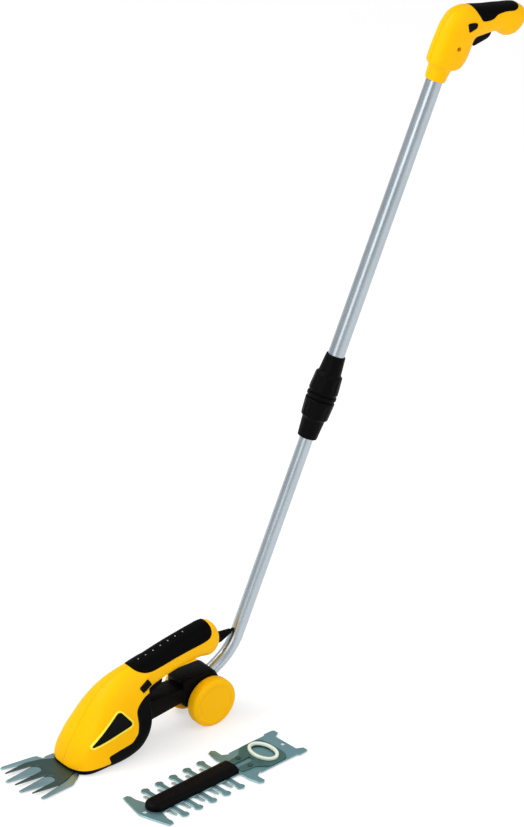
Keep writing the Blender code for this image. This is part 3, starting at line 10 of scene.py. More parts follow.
import bmesh
import bpy
import numpy as np
from mathutils import Matrix, Vector
from mathutils.bvhtree import BVHTree
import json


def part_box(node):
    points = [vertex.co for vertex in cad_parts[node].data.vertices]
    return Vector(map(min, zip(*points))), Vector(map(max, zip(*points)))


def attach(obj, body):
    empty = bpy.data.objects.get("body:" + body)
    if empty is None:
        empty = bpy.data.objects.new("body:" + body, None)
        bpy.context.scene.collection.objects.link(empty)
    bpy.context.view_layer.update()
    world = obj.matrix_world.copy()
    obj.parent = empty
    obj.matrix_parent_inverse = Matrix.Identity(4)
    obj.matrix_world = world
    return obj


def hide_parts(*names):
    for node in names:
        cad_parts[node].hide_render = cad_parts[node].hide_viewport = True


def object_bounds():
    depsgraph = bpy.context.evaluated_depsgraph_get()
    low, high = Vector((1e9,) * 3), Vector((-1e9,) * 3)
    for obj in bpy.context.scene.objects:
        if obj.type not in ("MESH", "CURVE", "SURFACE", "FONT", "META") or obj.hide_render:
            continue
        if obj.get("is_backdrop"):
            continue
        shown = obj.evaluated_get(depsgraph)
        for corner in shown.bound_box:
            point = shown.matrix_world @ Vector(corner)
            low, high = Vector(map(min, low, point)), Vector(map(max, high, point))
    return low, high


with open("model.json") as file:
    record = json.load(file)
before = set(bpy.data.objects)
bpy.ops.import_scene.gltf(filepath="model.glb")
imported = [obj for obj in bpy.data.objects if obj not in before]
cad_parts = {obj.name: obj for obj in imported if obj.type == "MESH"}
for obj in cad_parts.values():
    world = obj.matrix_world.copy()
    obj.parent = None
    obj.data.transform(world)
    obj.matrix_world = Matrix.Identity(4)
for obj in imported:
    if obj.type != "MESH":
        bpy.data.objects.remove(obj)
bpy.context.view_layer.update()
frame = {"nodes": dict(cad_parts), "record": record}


# Camera, floor and light. The photo is a studio shot from the tool's left front through a long
# lens, so the pole's foot and top are drawn at nearly one scale. The backdrop is plain white.
PHOTO_HEIGHT = 827
PIXELS_PER_MM = 0.785
AZIMUTH = math.radians(53.2)
ELEVATION = math.radians(31.3)
AIM_HEIGHT = 33.6
AIM_RIGHT = 80.4
AIM_UP = 356.3
CAMERA_DISTANCE = 24.0
FOCUS_AHEAD = 0.1
SENSOR_SIZE = 36.0
WHEEL_RADIUS = 33.5

axle_low, axle_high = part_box("axle")
BUILD_ORIGIN = np.array((axle_low + axle_high) / 2) - np.array((0.0, 0.0, WHEEL_RADIUS / 1000))


def in_frame(points):
    """Build-frame millimetres times 0.001, plus the place of the build frame's origin."""
    return np.asarray(points, dtype=float) * 0.001 + BUILD_ORIGIN


def linear(hex_colour):
    """sRGB to linear: a 12.92th below 0.04045, and the 2.4 power of its shifted value above."""
    srgb = np.array([int(hex_colour[k:k + 2], 16) / 255.0 for k in (0, 2, 4)])
    value = np.where(srgb <= 0.04045, srgb / 12.92, ((srgb + 0.055) / 1.055) ** 2.4)
    return (*value.tolist(), 1.0)


def add_node(tree, kind, values=None, links=None, **settings):
    """Add a node, set its fields and sockets, and link what feeds it."""
    node = tree.nodes.new("ShaderNode" + kind)
    for key, value in settings.items():
        setattr(node, key, value)
    for key, value in (values or {}).items():
        node.inputs[key].default_value = value
    for key, source in (links or {}).items():
        tree.links.new(source, node.inputs[key])
    return node


def placed(name, data):
    """A new object in the scene that holds the data."""
    item = bpy.data.objects.new(name, data)
    bpy.context.scene.collection.objects.link(item)
    return item


def lit_and_seen(tree, lit, seen):
    """Mix two shaders: the first lights the scene, and the camera sees the second."""
    path = add_node(tree, "LightPath")
    feeds = {0: path.outputs["Is Camera Ray"], 1: lit.outputs[0], 2: seen.outputs[0]}
    return add_node(tree, "MixShader", links=feeds)


right = np.array((math.cos(AZIMUTH), math.sin(AZIMUTH), 0.0))
back = np.array((
    math.sin(AZIMUTH) * math.cos(ELEVATION),
    -math.cos(AZIMUTH) * math.cos(ELEVATION),
    math.sin(ELEVATION),
))
up = np.cross(back, right)
aim = in_frame(np.array((0.0, 0.0, AIM_HEIGHT)) + AIM_RIGHT * right + AIM_UP * up)
camera_data = bpy.data.cameras.new("photo_camera")
camera_data.lens = SENSOR_SIZE * CAMERA_DISTANCE / (PHOTO_HEIGHT / PIXELS_PER_MM / 1000.0)
camera_data.clip_end = 200.0
camera = placed("photo_camera", camera_data)
turn = Matrix((right, up, back)).transposed().to_4x4()
# Lengths are drawn to the photo's scale in the plane that lies FOCUS_AHEAD metres before the aim.
camera.matrix_world = Matrix.Translation(Vector(aim + (CAMERA_DISTANCE + FOCUS_AHEAD) * back)) @ turn
bpy.context.scene.camera = camera
bpy.context.scene.view_settings.view_transform = "Standard"

world = bpy.data.worlds.new("studio")
world.use_nodes = True
bpy.context.scene.world = world
sky = world.node_tree
sky.nodes.clear()
direction = add_node(sky, "TexCoord")
height = add_node(sky, "SeparateXYZ", links={0: direction.outputs["Generated"]})
rise = add_node(sky, "MapRange", {1: -0.5, 2: 0.9, 3: 0.42, 4: 1.0}, {0: height.outputs[2]})
grey = add_node(sky, "CombineColor", links={k: rise.outputs[0] for k in range(3)})
daylight = add_node(sky, "Background", {1: 0.72}, {0: grey.outputs[0]})
white = add_node(sky, "Background", {0: (1.0, 1.0, 1.0, 1.0), 1: 1.0})
add_node(sky, "OutputWorld", links={0: lit_and_seen(sky, daylight, white).outputs[0]})


def softbox(name, direction, distance, size, power):
    """Hang a square area lamp at a distance in a direction from the aim, facing it."""
    lamp = bpy.data.lights.new(name, "AREA")
    lamp.shape = "SQUARE"
    lamp.size = size
    lamp.energy = power
    way = Vector(direction).normalized()
    facing = way.to_track_quat("Z", "Y").to_matrix().to_4x4()
    placed(name, lamp).matrix_world = Matrix.Translation(Vector(aim) + distance * way) @ facing


softbox("key_light", -0.75 * right + 0.75 * up + 0.55 * back, 2.6, 1.6, 36.0)
softbox("fill_light", 0.9 * right + 0.25 * up + 0.9 * back, 3.2, 2.2, 26.0)
softbox("low_light", -0.5 * right - 0.1 * up + 1.0 * back, 3.4, 1.8, 17.0)

# Paper as it lights the tool, and the brighter one that the camera sees, with the shadows on it.
floor_mesh = bpy.data.meshes.new("studio_floor")
floor_mesh.from_pydata([(-9, -9, 0), (9, -9, 0), (9, 9, 0), (-9, 9, 0)], [], [(0, 1, 2, 3)])
studio_floor = placed("studio_floor", floor_mesh)
paper = bpy.data.materials.new("white_paper_sweep")
paper.use_nodes = True
sheet = paper.node_tree
sheet.nodes.clear()
plain = add_node(sheet, "BsdfDiffuse", {0: linear("F4F4F4")})
shaded = add_node(sheet, "BsdfDiffuse", {0: linear("BFBFBF")})
glow = add_node(sheet, "Emission", {0: (1.0, 1.0, 1.0, 1.0), 1: 0.52})
bright = add_node(sheet, "AddShader", links={0: shaded.outputs[0], 1: glow.outputs[0]})
add_node(sheet, "OutputMaterial", links={0: lit_and_seen(sheet, plain, bright).outputs[0]})
floor_mesh.materials.append(paper)
studio_floor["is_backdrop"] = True


# Yellow clamshell of the shear unit. Two injection-moulded halves of yellow ABS meet in the
# middle plane and are screwed together from the right. The surface is smooth with a fine grain.
SKIN_STEPS = 4
SKIN_POINTS = 80
WALL_CHANGE = -112.0
WALL_CHANGE_LENGTH = 36.0
# A rib's numbers: Y and Z of its top, Y and Z of its bottom, half width at top and at bottom, and
# the power of its curve above and below.
SHEAR_RIBS = np.array([
    (-217, 8, -217, 4, 8, 8, 2.4, 3),
    (-216.2, 11.5, -216.2, 2.5, 13.5, 14.5, 2.4, 3),
    (-213.8, 18, -213.8, 1, 19.5, 22.8, 2.4, 3.5),
    (-210, 27, -210, -0.5, 24, 29.5, 2.4, 4.5),
    (-204.5, 37.5, -204.5, -1, 27, 34.8, 2.4, 5.5),
    (-197, 49, -197, -1.5, 28.6, 38.4, 2.4, 6),
    (-186, 65.5, -186, -1.5, 29.2, 40.4, 2.4, 6),
    (-171, 85, -170, -1, 29, 41.2, 2.4, 6),
    (-155, 99, -151, -0.5, 28.6, 41, 2.4, 6.5),
    (-140, 107.5, -132, 3, 27.2, 41.4, 2.4, 6.5),
    (-128, 112, -116.5, 10.5, 25.3, 41.4, 2.4, 6.5),
    (-117, 114.5, -105, 24, 24, 40.8, 2.4, 6),
    (-108, 116, -100.5, 39, 22.5, 39.5, 2.4, 5.5),
    (-100, 117.5, -101, 52, 21.5, 36.5, 2.4, 4),
    (-92, 119, -105.5, 62, 20.5, 31, 2.4, 3),
    (-85, 120, -103, 71.5, 20, 26.5, 2.4, 2.6),
    (-77, 121, -93, 77.8, 19.5, 23, 2.4, 2.5),
    (-64.5, 124.5, -76.5, 82.3, 19, 20.6, 2.4, 2.5),
    (-46, 129, -52, 87.4, 18.5, 18.8, 2.4, 2.5),
    (-23.5, 133.5, -27, 91.2, 18, 18, 2.4, 2.5),
    (-5, 136.8, -7, 92.2, 18, 18, 2.4, 2.5),
    (5, 138.2, 3, 90.2, 18, 18, 2.4, 2.5),
    (13, 137, 10.5, 89.2, 17.5, 17.5, 2.4, 2.4),
    (19.5, 132, 16.5, 91.7, 16, 16, 2.3, 2.3),
    (23.7, 124, 20.8, 97.2, 13, 13, 2.2, 2.2),
    (25.4, 116.5, 23.6, 103.5, 8, 8, 2.1, 2.1),
])
HEAD_WALL = 2.2
HANDLE_WALL = 3.9
GRIP_THICKNESS = 1.8
GRIP_PROUD = 0.4
SOLE_THICKNESS = 1.6
GAP = 0.3


def curve_through(rows, steps):
    """Catmull-Rom curve: between two rows, a cubic whose slopes are half the neighbours' span."""
    padded = np.vstack([2 * rows[0] - rows[1], rows, 2 * rows[-1] - rows[-2]])
    before, start, stop, after = (padded[k:len(rows) - 1 + k, None] for k in range(4))
    t = (np.arange(steps) / steps)[None, :, None]
    square = (2 * before - 5 * start + 4 * stop - after) * t ** 2
    cube = (3 * start - before - 3 * stop + after) * t ** 3
    curve = 0.5 * (2 * start + (stop - before) * t + square + cube)
    return np.vstack([curve.reshape(-1, rows.shape[1]), rows[-1:]])


def full_turn(count):
    """Equal steps of angle round one turn."""
    return 2 * np.pi * np.arange(count) / count


def rib_rings(ribs, count, floor=0.0):
    """Rings round each rib: a superellipse whose power and width blend from bottom to top."""
    cosine = np.cos(full_turn(count))[None, :]
    sine = np.sin(full_turn(count))[None, :]
    y_top, z_top, y_low, z_low, half_top, half_low, power_top, power_low = ribs.T[:, :, None]
    power = 2.0 / np.where(cosine >= 0, power_top, power_low)
    height = np.sign(cosine) * np.abs(cosine).round(9) ** power
    side = np.sign(sine) * np.abs(sine).round(9) ** power
    width = half_low + (half_top - half_low) * (height + 1) / 2
    y = (y_top + y_low) / 2 + (y_top - y_low) / 2 * height
    z = (z_top + z_low) / 2 + (z_top - z_low) / 2 * height
    return np.stack([side * width, y, np.maximum(z, floor)], axis=2)


def tube_faces(rows, count, closed_rows=False):
    """Quads between neighbouring rings of equal count; the last ring joins the first if asked."""
    row = np.arange(rows if closed_rows else rows - 1)[:, None] * count
    column = np.arange(count)[None, :]
    following = (row + count) % (rows * count)
    beside = (column + 1) % count
    corners = (row + column, row + beside, following + beside, following + column)
    return np.stack(corners, axis=2).reshape(-1, 4).tolist()


def skinned(rings):
    """A closed solid: quads between the rings and one flat face at each end."""
    rows, count = rings.shape[:2]
    faces = tube_faces(rows, count)
    faces.append(list(range(count)))
    faces.append(list(range((rows - 1) * count, rows * count)))
    return rings.reshape(-1, 3), faces


def looped(rings):
    """A closed solid like a tyre: quads between the rings, and the last ring joins the first."""
    rows, count = rings.shape[:2]
    return rings.reshape(-1, 3), tube_faces(rows, count, True)


def grown(outline, amount):
    """Move each outline point along its corner's mitre by an amount, outwards if positive."""
    points = np.array(outline, dtype=float)
    following = np.roll(points, -1, axis=0)
    area = np.sum(points[:, 0] * following[:, 1] - following[:, 0] * points[:, 1])
    edges = following - points
    normals = np.stack([edges[:, 1], -edges[:, 0]], axis=1) * np.sign(area)
    normals /= np.linalg.norm(normals, axis=1)[:, None]
    corner = normals + np.roll(normals, 1, axis=0)
    corner /= np.maximum(1.0, np.sum(corner * corner, axis=1) / 2)[:, None]
    return points + corner * np.reshape(amount, (-1, 1))


def inset_ribs(ribs, insets):
    """Move the ribs' side profile inwards and take the same amount off their half widths."""
    count = len(ribs)
    profile = np.vstack([ribs[:, 0:2], ribs[::-1, 2:4]])
    profile = grown(profile, -np.concatenate([insets, insets[::-1]]))
    shrunk = ribs.copy()
    shrunk[:, 0:2] = profile[:count]
    shrunk[:, 2:4] = profile[count:][::-1]
    shrunk[:, 4:6] -= insets[:, None]
    return shrunk


def shear_form(head_inset, handle_inset, floor=0.0):
    """The shear's skin moved inwards by one amount in the head and another in the handle."""
    share = np.clip((SHEAR_RIBS[:, 0] - WALL_CHANGE) / WALL_CHANGE_LENGTH, 0.0, 1.0)
    insets = head_inset + (handle_inset - head_inset) * share
    rows = curve_through(inset_ribs(SHEAR_RIBS, insets), SKIN_STEPS)
    return skinned(rib_rings(rows, SKIN_POINTS, floor))


def prism(outline, low, high, across="X"):
    """An outline's points repeated at two levels, with side quads and two flat ends."""
    flat = np.array(outline, dtype=float)
    count = len(flat)
    rings = np.empty((2, count, 3))
    for k, level in enumerate((low, high)):
        if across == "X":
            rings[k, :, 0] = level
            rings[k, :, 1:3] = flat
        else:
            rings[k, :, 0:2] = flat
            rings[k, :, 2] = level
    return skinned(rings)


def block(low, high):
    """A box between two corners."""
    outline = [(low[0], low[1]), (high[0], low[1]), (high[0], high[1]), (low[0], high[1])]
    return prism(outline, low[2], high[2], "Z")


def rounded(outline, radius, steps=5):
    """Replace each corner by a quadratic curve that starts and stops a radius away from it."""
    corner = np.array(outline, dtype=float)
    before = np.roll(corner, 1, axis=0) - corner
    after = np.roll(corner, -1, axis=0) - corner
    long_before = np.linalg.norm(before, axis=1)[:, None]
    long_after = np.linalg.norm(after, axis=1)[:, None]
    start = corner + before / long_before * np.minimum(radius, 0.45 * long_before)
    stop = corner + after / long_after * np.minimum(radius, 0.45 * long_after)
    t = (np.arange(steps + 1) / steps)[None, :, None]
    curve = (1 - t) ** 2 * start[:, None] + 2 * t * (1 - t) * corner[:, None] + t * t * stop[:, None]
    return curve.reshape(-1, 2)


def spokes(across, third, sides):
    """Unit vectors round a turn: the cosine times one direction plus the sine times the other."""
    angle = full_turn(sides)
    return np.cos(angle)[:, None] * across + np.sin(angle)[:, None] * third


def turned(profile, centre, axis, sides):
    """Profile points (radius, distance along the axis) carried round the axis on a circle."""
    axis = np.array(axis, dtype=float)
    axis /= np.linalg.norm(axis)
    across = np.array((0.0, 1.0, 0.0)) if abs(axis[0]) > 0.5 else np.array((1.0, 0.0, 0.0))
    flat = np.array(profile, dtype=float)
    ends_on_axis = flat[0, 0] == 0
    rows = flat[1:-1] if ends_on_axis else flat
    spoke = spokes(across, np.cross(axis, across), sides)
    rings = np.array(centre) + rows[:, 1, None, None] * axis + rows[:, 0, None, None] * spoke
    return skinned(rings) if ends_on_axis else looped(rings)


def rod(start, stop, radius, sides=32):
    """A round bar between two points."""
    reach = np.array(stop, dtype=float) - np.array(start, dtype=float)
    length = np.linalg.norm(reach)
    return turned([(0, 0), (radius, 0), (radius, length), (0, length)], start, reach, sides)


def crossbar(place, half_length, radius):
    """A round bar along X, centred on a (Y, Z) place of the middle plane."""
    return rod((-half_length, *place), (half_length, *place), radius)


def raw_object(shape):
    """Put points and faces into a mesh with its faces outwards, and place it in the scene."""
    mesh = bpy.data.meshes.new("shape")
    mesh.from_pydata(in_frame(shape[0]).tolist(), [], shape[1])
    work = bmesh.new()
    work.from_mesh(mesh)
    bmesh.ops.recalc_face_normals(work, faces=work.faces)
    work.to_mesh(mesh)
    work.free()
    return placed("shape", mesh)


def carve(item, steps):
    """Cut, join or trim an item with other shapes, one after another, and keep the result."""
    temporary = []
    for operation, tool in steps:
        if not isinstance(tool, bpy.types.Object):
            tool = raw_object(tool)
            temporary.append(tool)
        modifier = item.modifiers.new("step", "BOOLEAN")
        modifier.operation = operation
        modifier.solver = "EXACT"
        modifier.object = tool
    graph = bpy.context.evaluated_depsgraph_get()
    mesh = bpy.data.meshes.new_from_object(item.evaluated_get(graph))
    old = item.data
    item.modifiers.clear()
    item.data = mesh
    bpy.data.meshes.remove(old)
    for tool in temporary:
        bpy.data.objects.remove(tool)
    return item


def cuts(*shapes):
    """One cutting step of carve for each shape."""
    return [("DIFFERENCE", shape) for shape in shapes]


def within(shape):
    """The step of carve that keeps only what lies inside a shape."""
    return [("INTERSECT", shape)]


def dress(item, name, material, body, nodes=(), smooth_angle=32.0):
    """Finish a piece: name, smooth shading up to an angle, material, body and the nodes it shows."""
    item.name = name
    item.data.name = name
    item.data.materials.clear()
    item.data.materials.append(material)
    item.data.shade_smooth()
    item.data.set_sharp_from_angle(angle=math.radians(smooth_angle))
    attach(item, body)
    if nodes:
        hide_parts(*nodes)
    return item


def new_finish(name):
    """A material of a name, its node tree, and the Object coordinates that its patterns read."""
    material = bpy.data.materials.new(name)
    material.use_nodes = True
    tree = material.node_tree
    return material, tree, add_node(tree, "TexCoord").outputs["Object"]


def tinted(tree, colour, shade, share):
    """Base colour: a colour and a shade mixed by the share that a node gives."""
    colours = {6: linear(colour), 7: linear(shade)}
    tint = add_node(tree, "Mix", colours, {0: share.outputs[0]}, data_type="RGBA")
    tree.links.new(tint.outputs[2], tree.nodes["Principled BSDF"].inputs["Base Color"])


def textured(tree, pattern, dull, dullest, strength, depth, edge):
    """A pattern that shifts the roughness between two values and stands a depth proud.

    Under it a bevel on a small radius makes the edges catch light. Both are in millimetres.
    """
    shader = tree.nodes["Principled BSDF"]
    gloss = add_node(tree, "MapRange", {1: 0.3, 2: 0.7, 3: dull, 4: dullest}, {0: pattern.outputs[0]})
    edges = add_node(tree, "Bevel", {0: edge / 1000}, samples=4)
    relief = add_node(tree, "Bump", {"Strength": strength, "Distance": depth / 1000},
                      {"Height": pattern.outputs[0], "Normal": edges.outputs[0]})
    tree.links.new(gloss.outputs[0], shader.inputs["Roughness"])
    tree.links.new(relief.outputs[0], shader.inputs["Normal"])


def moulded_plastic(name, colour, shade, roughness, grain, depth, edge, gleam=0.5):
    """Injection-moulded plastic with a spark-eroded grain.

    The colour drifts a little towards a shade over 90 mm, as pigment does. The grain is a noise
    of a size in millimetres and a depth, and the edges catch light on a small radius. The gleam
    is the specular level, low for resins that reflect little.
    """
    material, tree, place = new_finish(name)
    drift = add_node(tree, "TexNoise", {"Scale": 1000 / 90, "Detail": 2.0}, {"Vector": place})
    tinted(tree, colour, shade, add_node(
        tree, "MapRange", {1: 0.35, 2: 0.75, 3: 0.0, 4: 0.35}, {0: drift.outputs[0]}))
    bite = add_node(tree, "TexNoise", {"Scale": 1000 / grain, "Detail": 3.0}, {"Vector": place})
    textured(tree, bite, roughness - 0.05, roughness + 0.05, 0.5, depth, edge)
    shader = tree.nodes["Principled BSDF"]
    shader.inputs["IOR"].default_value = 1.52
    shader.inputs["Specular IOR Level"].default_value = gleam
    return material


# ABS: IOR 1.52, a dense opaque yellow, even gloss of a polished tool with a light grain.
yellow_abs = moulded_plastic("yellow_moulded_abs", "FFC000", "FDB000", 0.42, 1.5, 0.012, 0.7, 0.08)

SKIRT_START = -240.0
SKIRT_LINE = [
    (SKIRT_START, 7.6), (-166.8, 7.6), (-171.5, 19.0), (-133.5, 26.0), (-123.5, 36.0),
    (-121.5, 48), (-122.5, 66), (-118, 73.5), (-108.5, 81.3), (-99, 85.2), (-92.6, 84),
]
SKIRT_OUTLINE = np.vstack([rounded(SKIRT_LINE, 4.0)[5:-5], [(-92.0, -20.0), (SKIRT_START, -20.0)]])
GRIP_OUTLINE = rounded([
    (-121, 150), (-113, 114.5), (-102, 109), (-88, 107.8), (-71, 109.8),
    (-52, 113), (-28, 116), (-7, 118.5), (5, 121.5), (9.5, 130), (8, 150),
], 6.0)
LABEL_OUTLINE = rounded([(-195.0, 36.5), (-148.5, 75.5), (-129.5, 51.5)], 6.5, 8)
LABEL_THICKNESS = 1.0
PLATE = 1.4
CUTTER_PLATE = 1.2
BLADE_SLOT_TOP = SOLE_THICKNESS + PLATE + CUTTER_PLATE + 3 * GAP
BLADE_SLOT_HALF = 36.5
BLADE_SLOT_END = -203.0
ROOM_HALF = 27.5
ROOM_END = -151.0
ROOM_TOP = 8.0
POST_RADIUS = 4.5
HINGE_HALF = 11.3
HINGE_RADIUS = 2.3
TRIGGER_PIVOT = (-68.0, 92.0)
TRIGGER_SLOT_HALF = 7.6
BATTERY_FRONT = (-61.0, 104.9)
BATTERY_REAR = (3.2, 115.1)
BATTERY_BORE = 9.5
SHEAR_BOSSES = [(-195.0, 22.0), (-124.5, 52.0), (-122.0, 98.0), (13.0, 122.0)]
SOCKET_START = np.array((11.5, 102.6))
SOCKET_STOP = np.array((28.0, 104.9))
PLUG_DIRECTION = (SOCKET_STOP - SOCKET_START) / np.linalg.norm(SOCKET_STOP - SOCKET_START)
TRIGGER_SLOT = [
    (-104, 58), (-104, 82), (-99, 92), (-75, 97), (-62.3, 97), (-61, 82),
]
LOCK_CENTRE = np.array((-103.5, 93.7))
LOCK_TURN = math.radians(29.0)


def turned_rectangle(centre, half_length, half_height, angle):
    """Corners of a rectangle whose long side is turned by an angle."""
    along = np.array((math.cos(angle), math.sin(angle)))
    across = np.array((-math.sin(angle), math.cos(angle)))
    signs = np.array([(-1, -1), (1, -1), (1, 1), (-1, 1)])
    return np.array(centre) + signs[:, :1] * half_length * along + signs[:, 1:] * half_height * across


LOCK_OUTLINE = rounded(turned_rectangle(LOCK_CENTRE, 8.0, 4.5, LOCK_TURN), 1.5)


def recess(outline, form, depth):
    """Room for an inlay: its outline grown by the gap, outside a form moved in by depth and gap."""
    room = raw_object(prism(grown(outline, GAP), -70, 70))
    return carve(room, cuts(form(depth + GAP, depth + GAP)))


def inlaid(outline, form, outer, depth, low=-60, high=60):
    """An inlay: its outline's prism between a form moved in by one amount and one moved in deeper."""
    inlay = raw_object(prism(outline, low, high))
    return carve(inlay, within(form(outer, outer)) + cuts(form(depth, depth)))


def screw_hole(place, side):
    """A bore for a screw's thread, and behind 21 mm a wider one for its head, from one side."""
    bore = [(0, 0), (1.7, 0), (1.7, 21), (3.1, 21), (3.1, 80), (0, 80)]
    return turned(bore, (-9.0 * side, *place), (side, 0, 0), 24)


def hollow(skin, inner, wall_middle, blocks, holes):
    """A skin less its inside, plus blocks as far as the middle of its wall, less the holes."""
    middle = raw_object(wall_middle)
    blocks = [carve(raw_object(shape), within(middle)) for shape in blocks]
    shell = raw_object(skin)
    carve(shell, cuts(inner) + [("UNION", shape) for shape in blocks] + cuts(*holes))
    for spent in [middle] + blocks + [hole for hole in holes if isinstance(hole, bpy.types.Object)]:
        bpy.data.objects.remove(spent)
    return shell


def split(shell, half_width, low, high, name, body, node):
    """Two halves of a shell: a box on each side of the middle plane, trimmed to the shell."""
    for side, start, stop in (("left", GAP / 2, half_width), ("right", -half_width, -GAP / 2)):
        half = carve(raw_object(block((start, *low), (stop, *high))), within(shell))
        dress(half, f"{name}_{side}", yellow_abs, body, [f"{node}_{side}"])
    bpy.data.objects.remove(shell)


shear_inner = raw_object(shear_form(HEAD_WALL, HANDLE_WALL, SOLE_THICKNESS))
blocks = [crossbar(place, 60, POST_RADIUS) for place in SHEAR_BOSSES]
blocks.append(prism([(-72.5, 84.0), (-63.8, 84.0), (-63.8, 95.5), (-72.5, 95.5)], -30, 30))
blade_room = block((-ROOM_HALF, BLADE_SLOT_END, SOLE_THICKNESS), (ROOM_HALF, ROOM_END, ROOM_TOP))
trigger_slot = prism(TRIGGER_SLOT, -TRIGGER_SLOT_HALF, TRIGGER_SLOT_HALF)
holes = [
    rod((0, *BATTERY_FRONT), (0, *BATTERY_REAR), BATTERY_BORE, 40),
    prism(grown(SKIRT_OUTLINE, GAP), -60, 60),
    recess(GRIP_OUTLINE, shear_form, GRIP_THICKNESS),
    recess(LABEL_OUTLINE, shear_form, LABEL_THICKNESS),
    block((-BLADE_SLOT_HALF, SKIRT_START, -1.0), (BLADE_SLOT_HALF, BLADE_SLOT_END, BLADE_SLOT_TOP)),
    blade_room,
    trigger_slot,
    crossbar(TRIGGER_PIVOT, HINGE_HALF, HINGE_RADIUS),
    prism(grown(LOCK_OUTLINE, GAP), 10.0, 60.0),
    turned([(0, -0.3), (6.3, -0.3), (6.3, 16.66), (7.5, 16.66), (7.5, 40), (0, 40)],
           (0, *SOCKET_START), (0, *PLUG_DIRECTION), 40),
]
holes += [screw_hole(place, -1) for place in SHEAR_BOSSES]
shell = hollow(
    shear_form(0.0, 0.0), shear_inner, shear_form(HEAD_WALL / 2, HANDLE_WALL - 0.9, 0.8), blocks, holes)
split(shell, 70.0, (-250.0, -20.0), (60.0, 160.0), "yellow_shell", "shear_unit", "housing")


# Raised frame round each label panel: a thin lip, 2 mm wide, in a lighter yellow that paints the
# highlight the lip catches. It stands 0.6 mm proud of the shell and keeps clear of the panel's edge.
LABEL_SIDES = (("left", 5.0, 70.0), ("right", -70.0, -5.0))
# Painted highlight: the lip's yellow is lighter than the shell's to stand for the light it catches.
lip_painted_highlight_yellow = moulded_plastic("lip_yellow_painted_highlight", "FFF04A", "FFE838", 0.45, 1.5, 0.008, 0.5, 0.3)
for name, low, high in LABEL_SIDES:
    rim = raw_object(prism(grown(LABEL_OUTLINE, 2.5), low, high))
    carve(rim, within(shear_form(-0.6, -0.6)) + cuts(
        prism(grown(LABEL_OUTLINE, 0.4), -75.0, 75.0), shear_form(0.4, 0.4)))
    dress(rim, f"label_lip_{name}", lip_painted_highlight_yellow, "shear_unit")


# Black skirt under the shell: glass-filled ABS moulding with the flat sole that slides on grass.
# It is duller than the shell and its grain is coarser.
black_abs = moulded_plastic("black_moulded_abs", "030304", "060608", 0.46, 1.6, 0.02, 0.8, 0.06)
skirt = raw_object(shear_form(0.0, 0.0))
carve(skirt, within(prism(SKIRT_OUTLINE, -60, 60)) + cuts(
    shear_inner,
    block((-BLADE_SLOT_HALF, SKIRT_START, SOLE_THICKNESS),
          (BLADE_SLOT_HALF, BLADE_SLOT_END, BLADE_SLOT_TOP)),
    blade_room,
    trigger_slot))
dress(skirt, "black_sole_skirt", black_abs, "shear_unit", ["base_skirt"])
bpy.data.objects.remove(shear_inner)


# Soft grip on top of the handle: black thermoplastic rubber moulded into a recess of the shell,
# matt with a fine stipple, and a row of small raised dots along its upper edge, painted pale grey
# for the highlights they catch.
soft_rubber = moulded_plastic("soft_tpe_overmould", "030203", "050405", 0.55, 1.4, 0.03, 0.6, 0.04)
grip_skin = shear_form(-GRIP_PROUD, -GRIP_PROUD)
grip = inlaid(GRIP_OUTLINE, shear_form, -GRIP_PROUD, GRIP_THICKNESS)
dress(grip, "soft_grip_inlay", soft_rubber, "shear_unit", ["grip_sleeve"])


def surface_under(shape, start, direction):
    """Where a straight line first meets a shape, and the shape's outward direction there."""
    tree = BVHTree.FromPolygons([tuple(p) for p in np.asarray(shape[0])], shape[1])
    place, normal, _, _ = tree.ray_cast(Vector(start), Vector(direction))
    if normal.dot(Vector(direction)) > 0:
        normal = -normal
    return np.array(place), np.array(normal)


def dome(place, normal, radius, height, rows=7, sides=18):
    """A cap on a disc: radius times the sine, and height times the cosine of the row's angle."""
    normal = np.array(normal) / np.linalg.norm(normal)
    across = np.cross(normal, (0.0, 0.0, 1.0) if abs(normal[2]) < 0.9 else (0.0, 1.0, 0.0))
    across /= np.linalg.norm(across)
    polar = np.linspace(0.08, np.pi / 2, rows)
    spoke = spokes(across, np.cross(normal, across), sides)
    rings = np.array(place) + (radius * np.sin(polar))[:, None, None] * spoke
    rings = rings + (height * np.cos(polar))[:, None, None] * normal
    foot = rings[-1:] - 0.4 * normal
    return skinned(np.concatenate([rings, foot]))


def joined(shapes):
    """Several shapes as one: their points stacked and their faces' numbers moved on."""
    offsets = np.cumsum([0] + [len(points) for points, _ in shapes[:-1]])
    faces = [[v + int(shift) for v in face] for (_, own), shift in zip(shapes, offsets) for face in own]
    return np.vstack([points for points, _ in shapes]), faces


DOT_START = -95.5
DOT_PITCH = 11.7
# Painted highlight: the dots are pale grey to stand for the light on their small domes.
dot_highlight_grey = moulded_plastic("grip_dots_painted_highlight", "A9AAAE", "97989C", 0.45, 1.2, 0.01, 0.2)
dots = []
for k in range(7):
    place, normal = surface_under(grip_skin, (-1.5, DOT_START + DOT_PITCH * k, 200.0), (0.0, 0.0, -1.0))
    dots.append(dome(place, normal, 0.9, 0.45))
dress(raw_object(joined(dots)), "grip_dots", dot_highlight_grey, "shear_unit")


# Label panels: gloss black ABS plates, 1 mm thick, let into the shell's sides and left bare. They
# are polished, so they mirror the studio a little more than the skirt does.
gloss_black = moulded_plastic("gloss_black_abs", "020203", "040405", 0.36, 4.0, 0.004, 0.4, 0.1)
for name, low, high in LABEL_SIDES:
    panel = inlaid(LABEL_OUTLINE, shear_form, -0.2, LABEL_THICKNESS, low, high)
    dress(panel, f"bare_label_{name}", gloss_black, "shear_unit", [f"label_panel_{name}"])


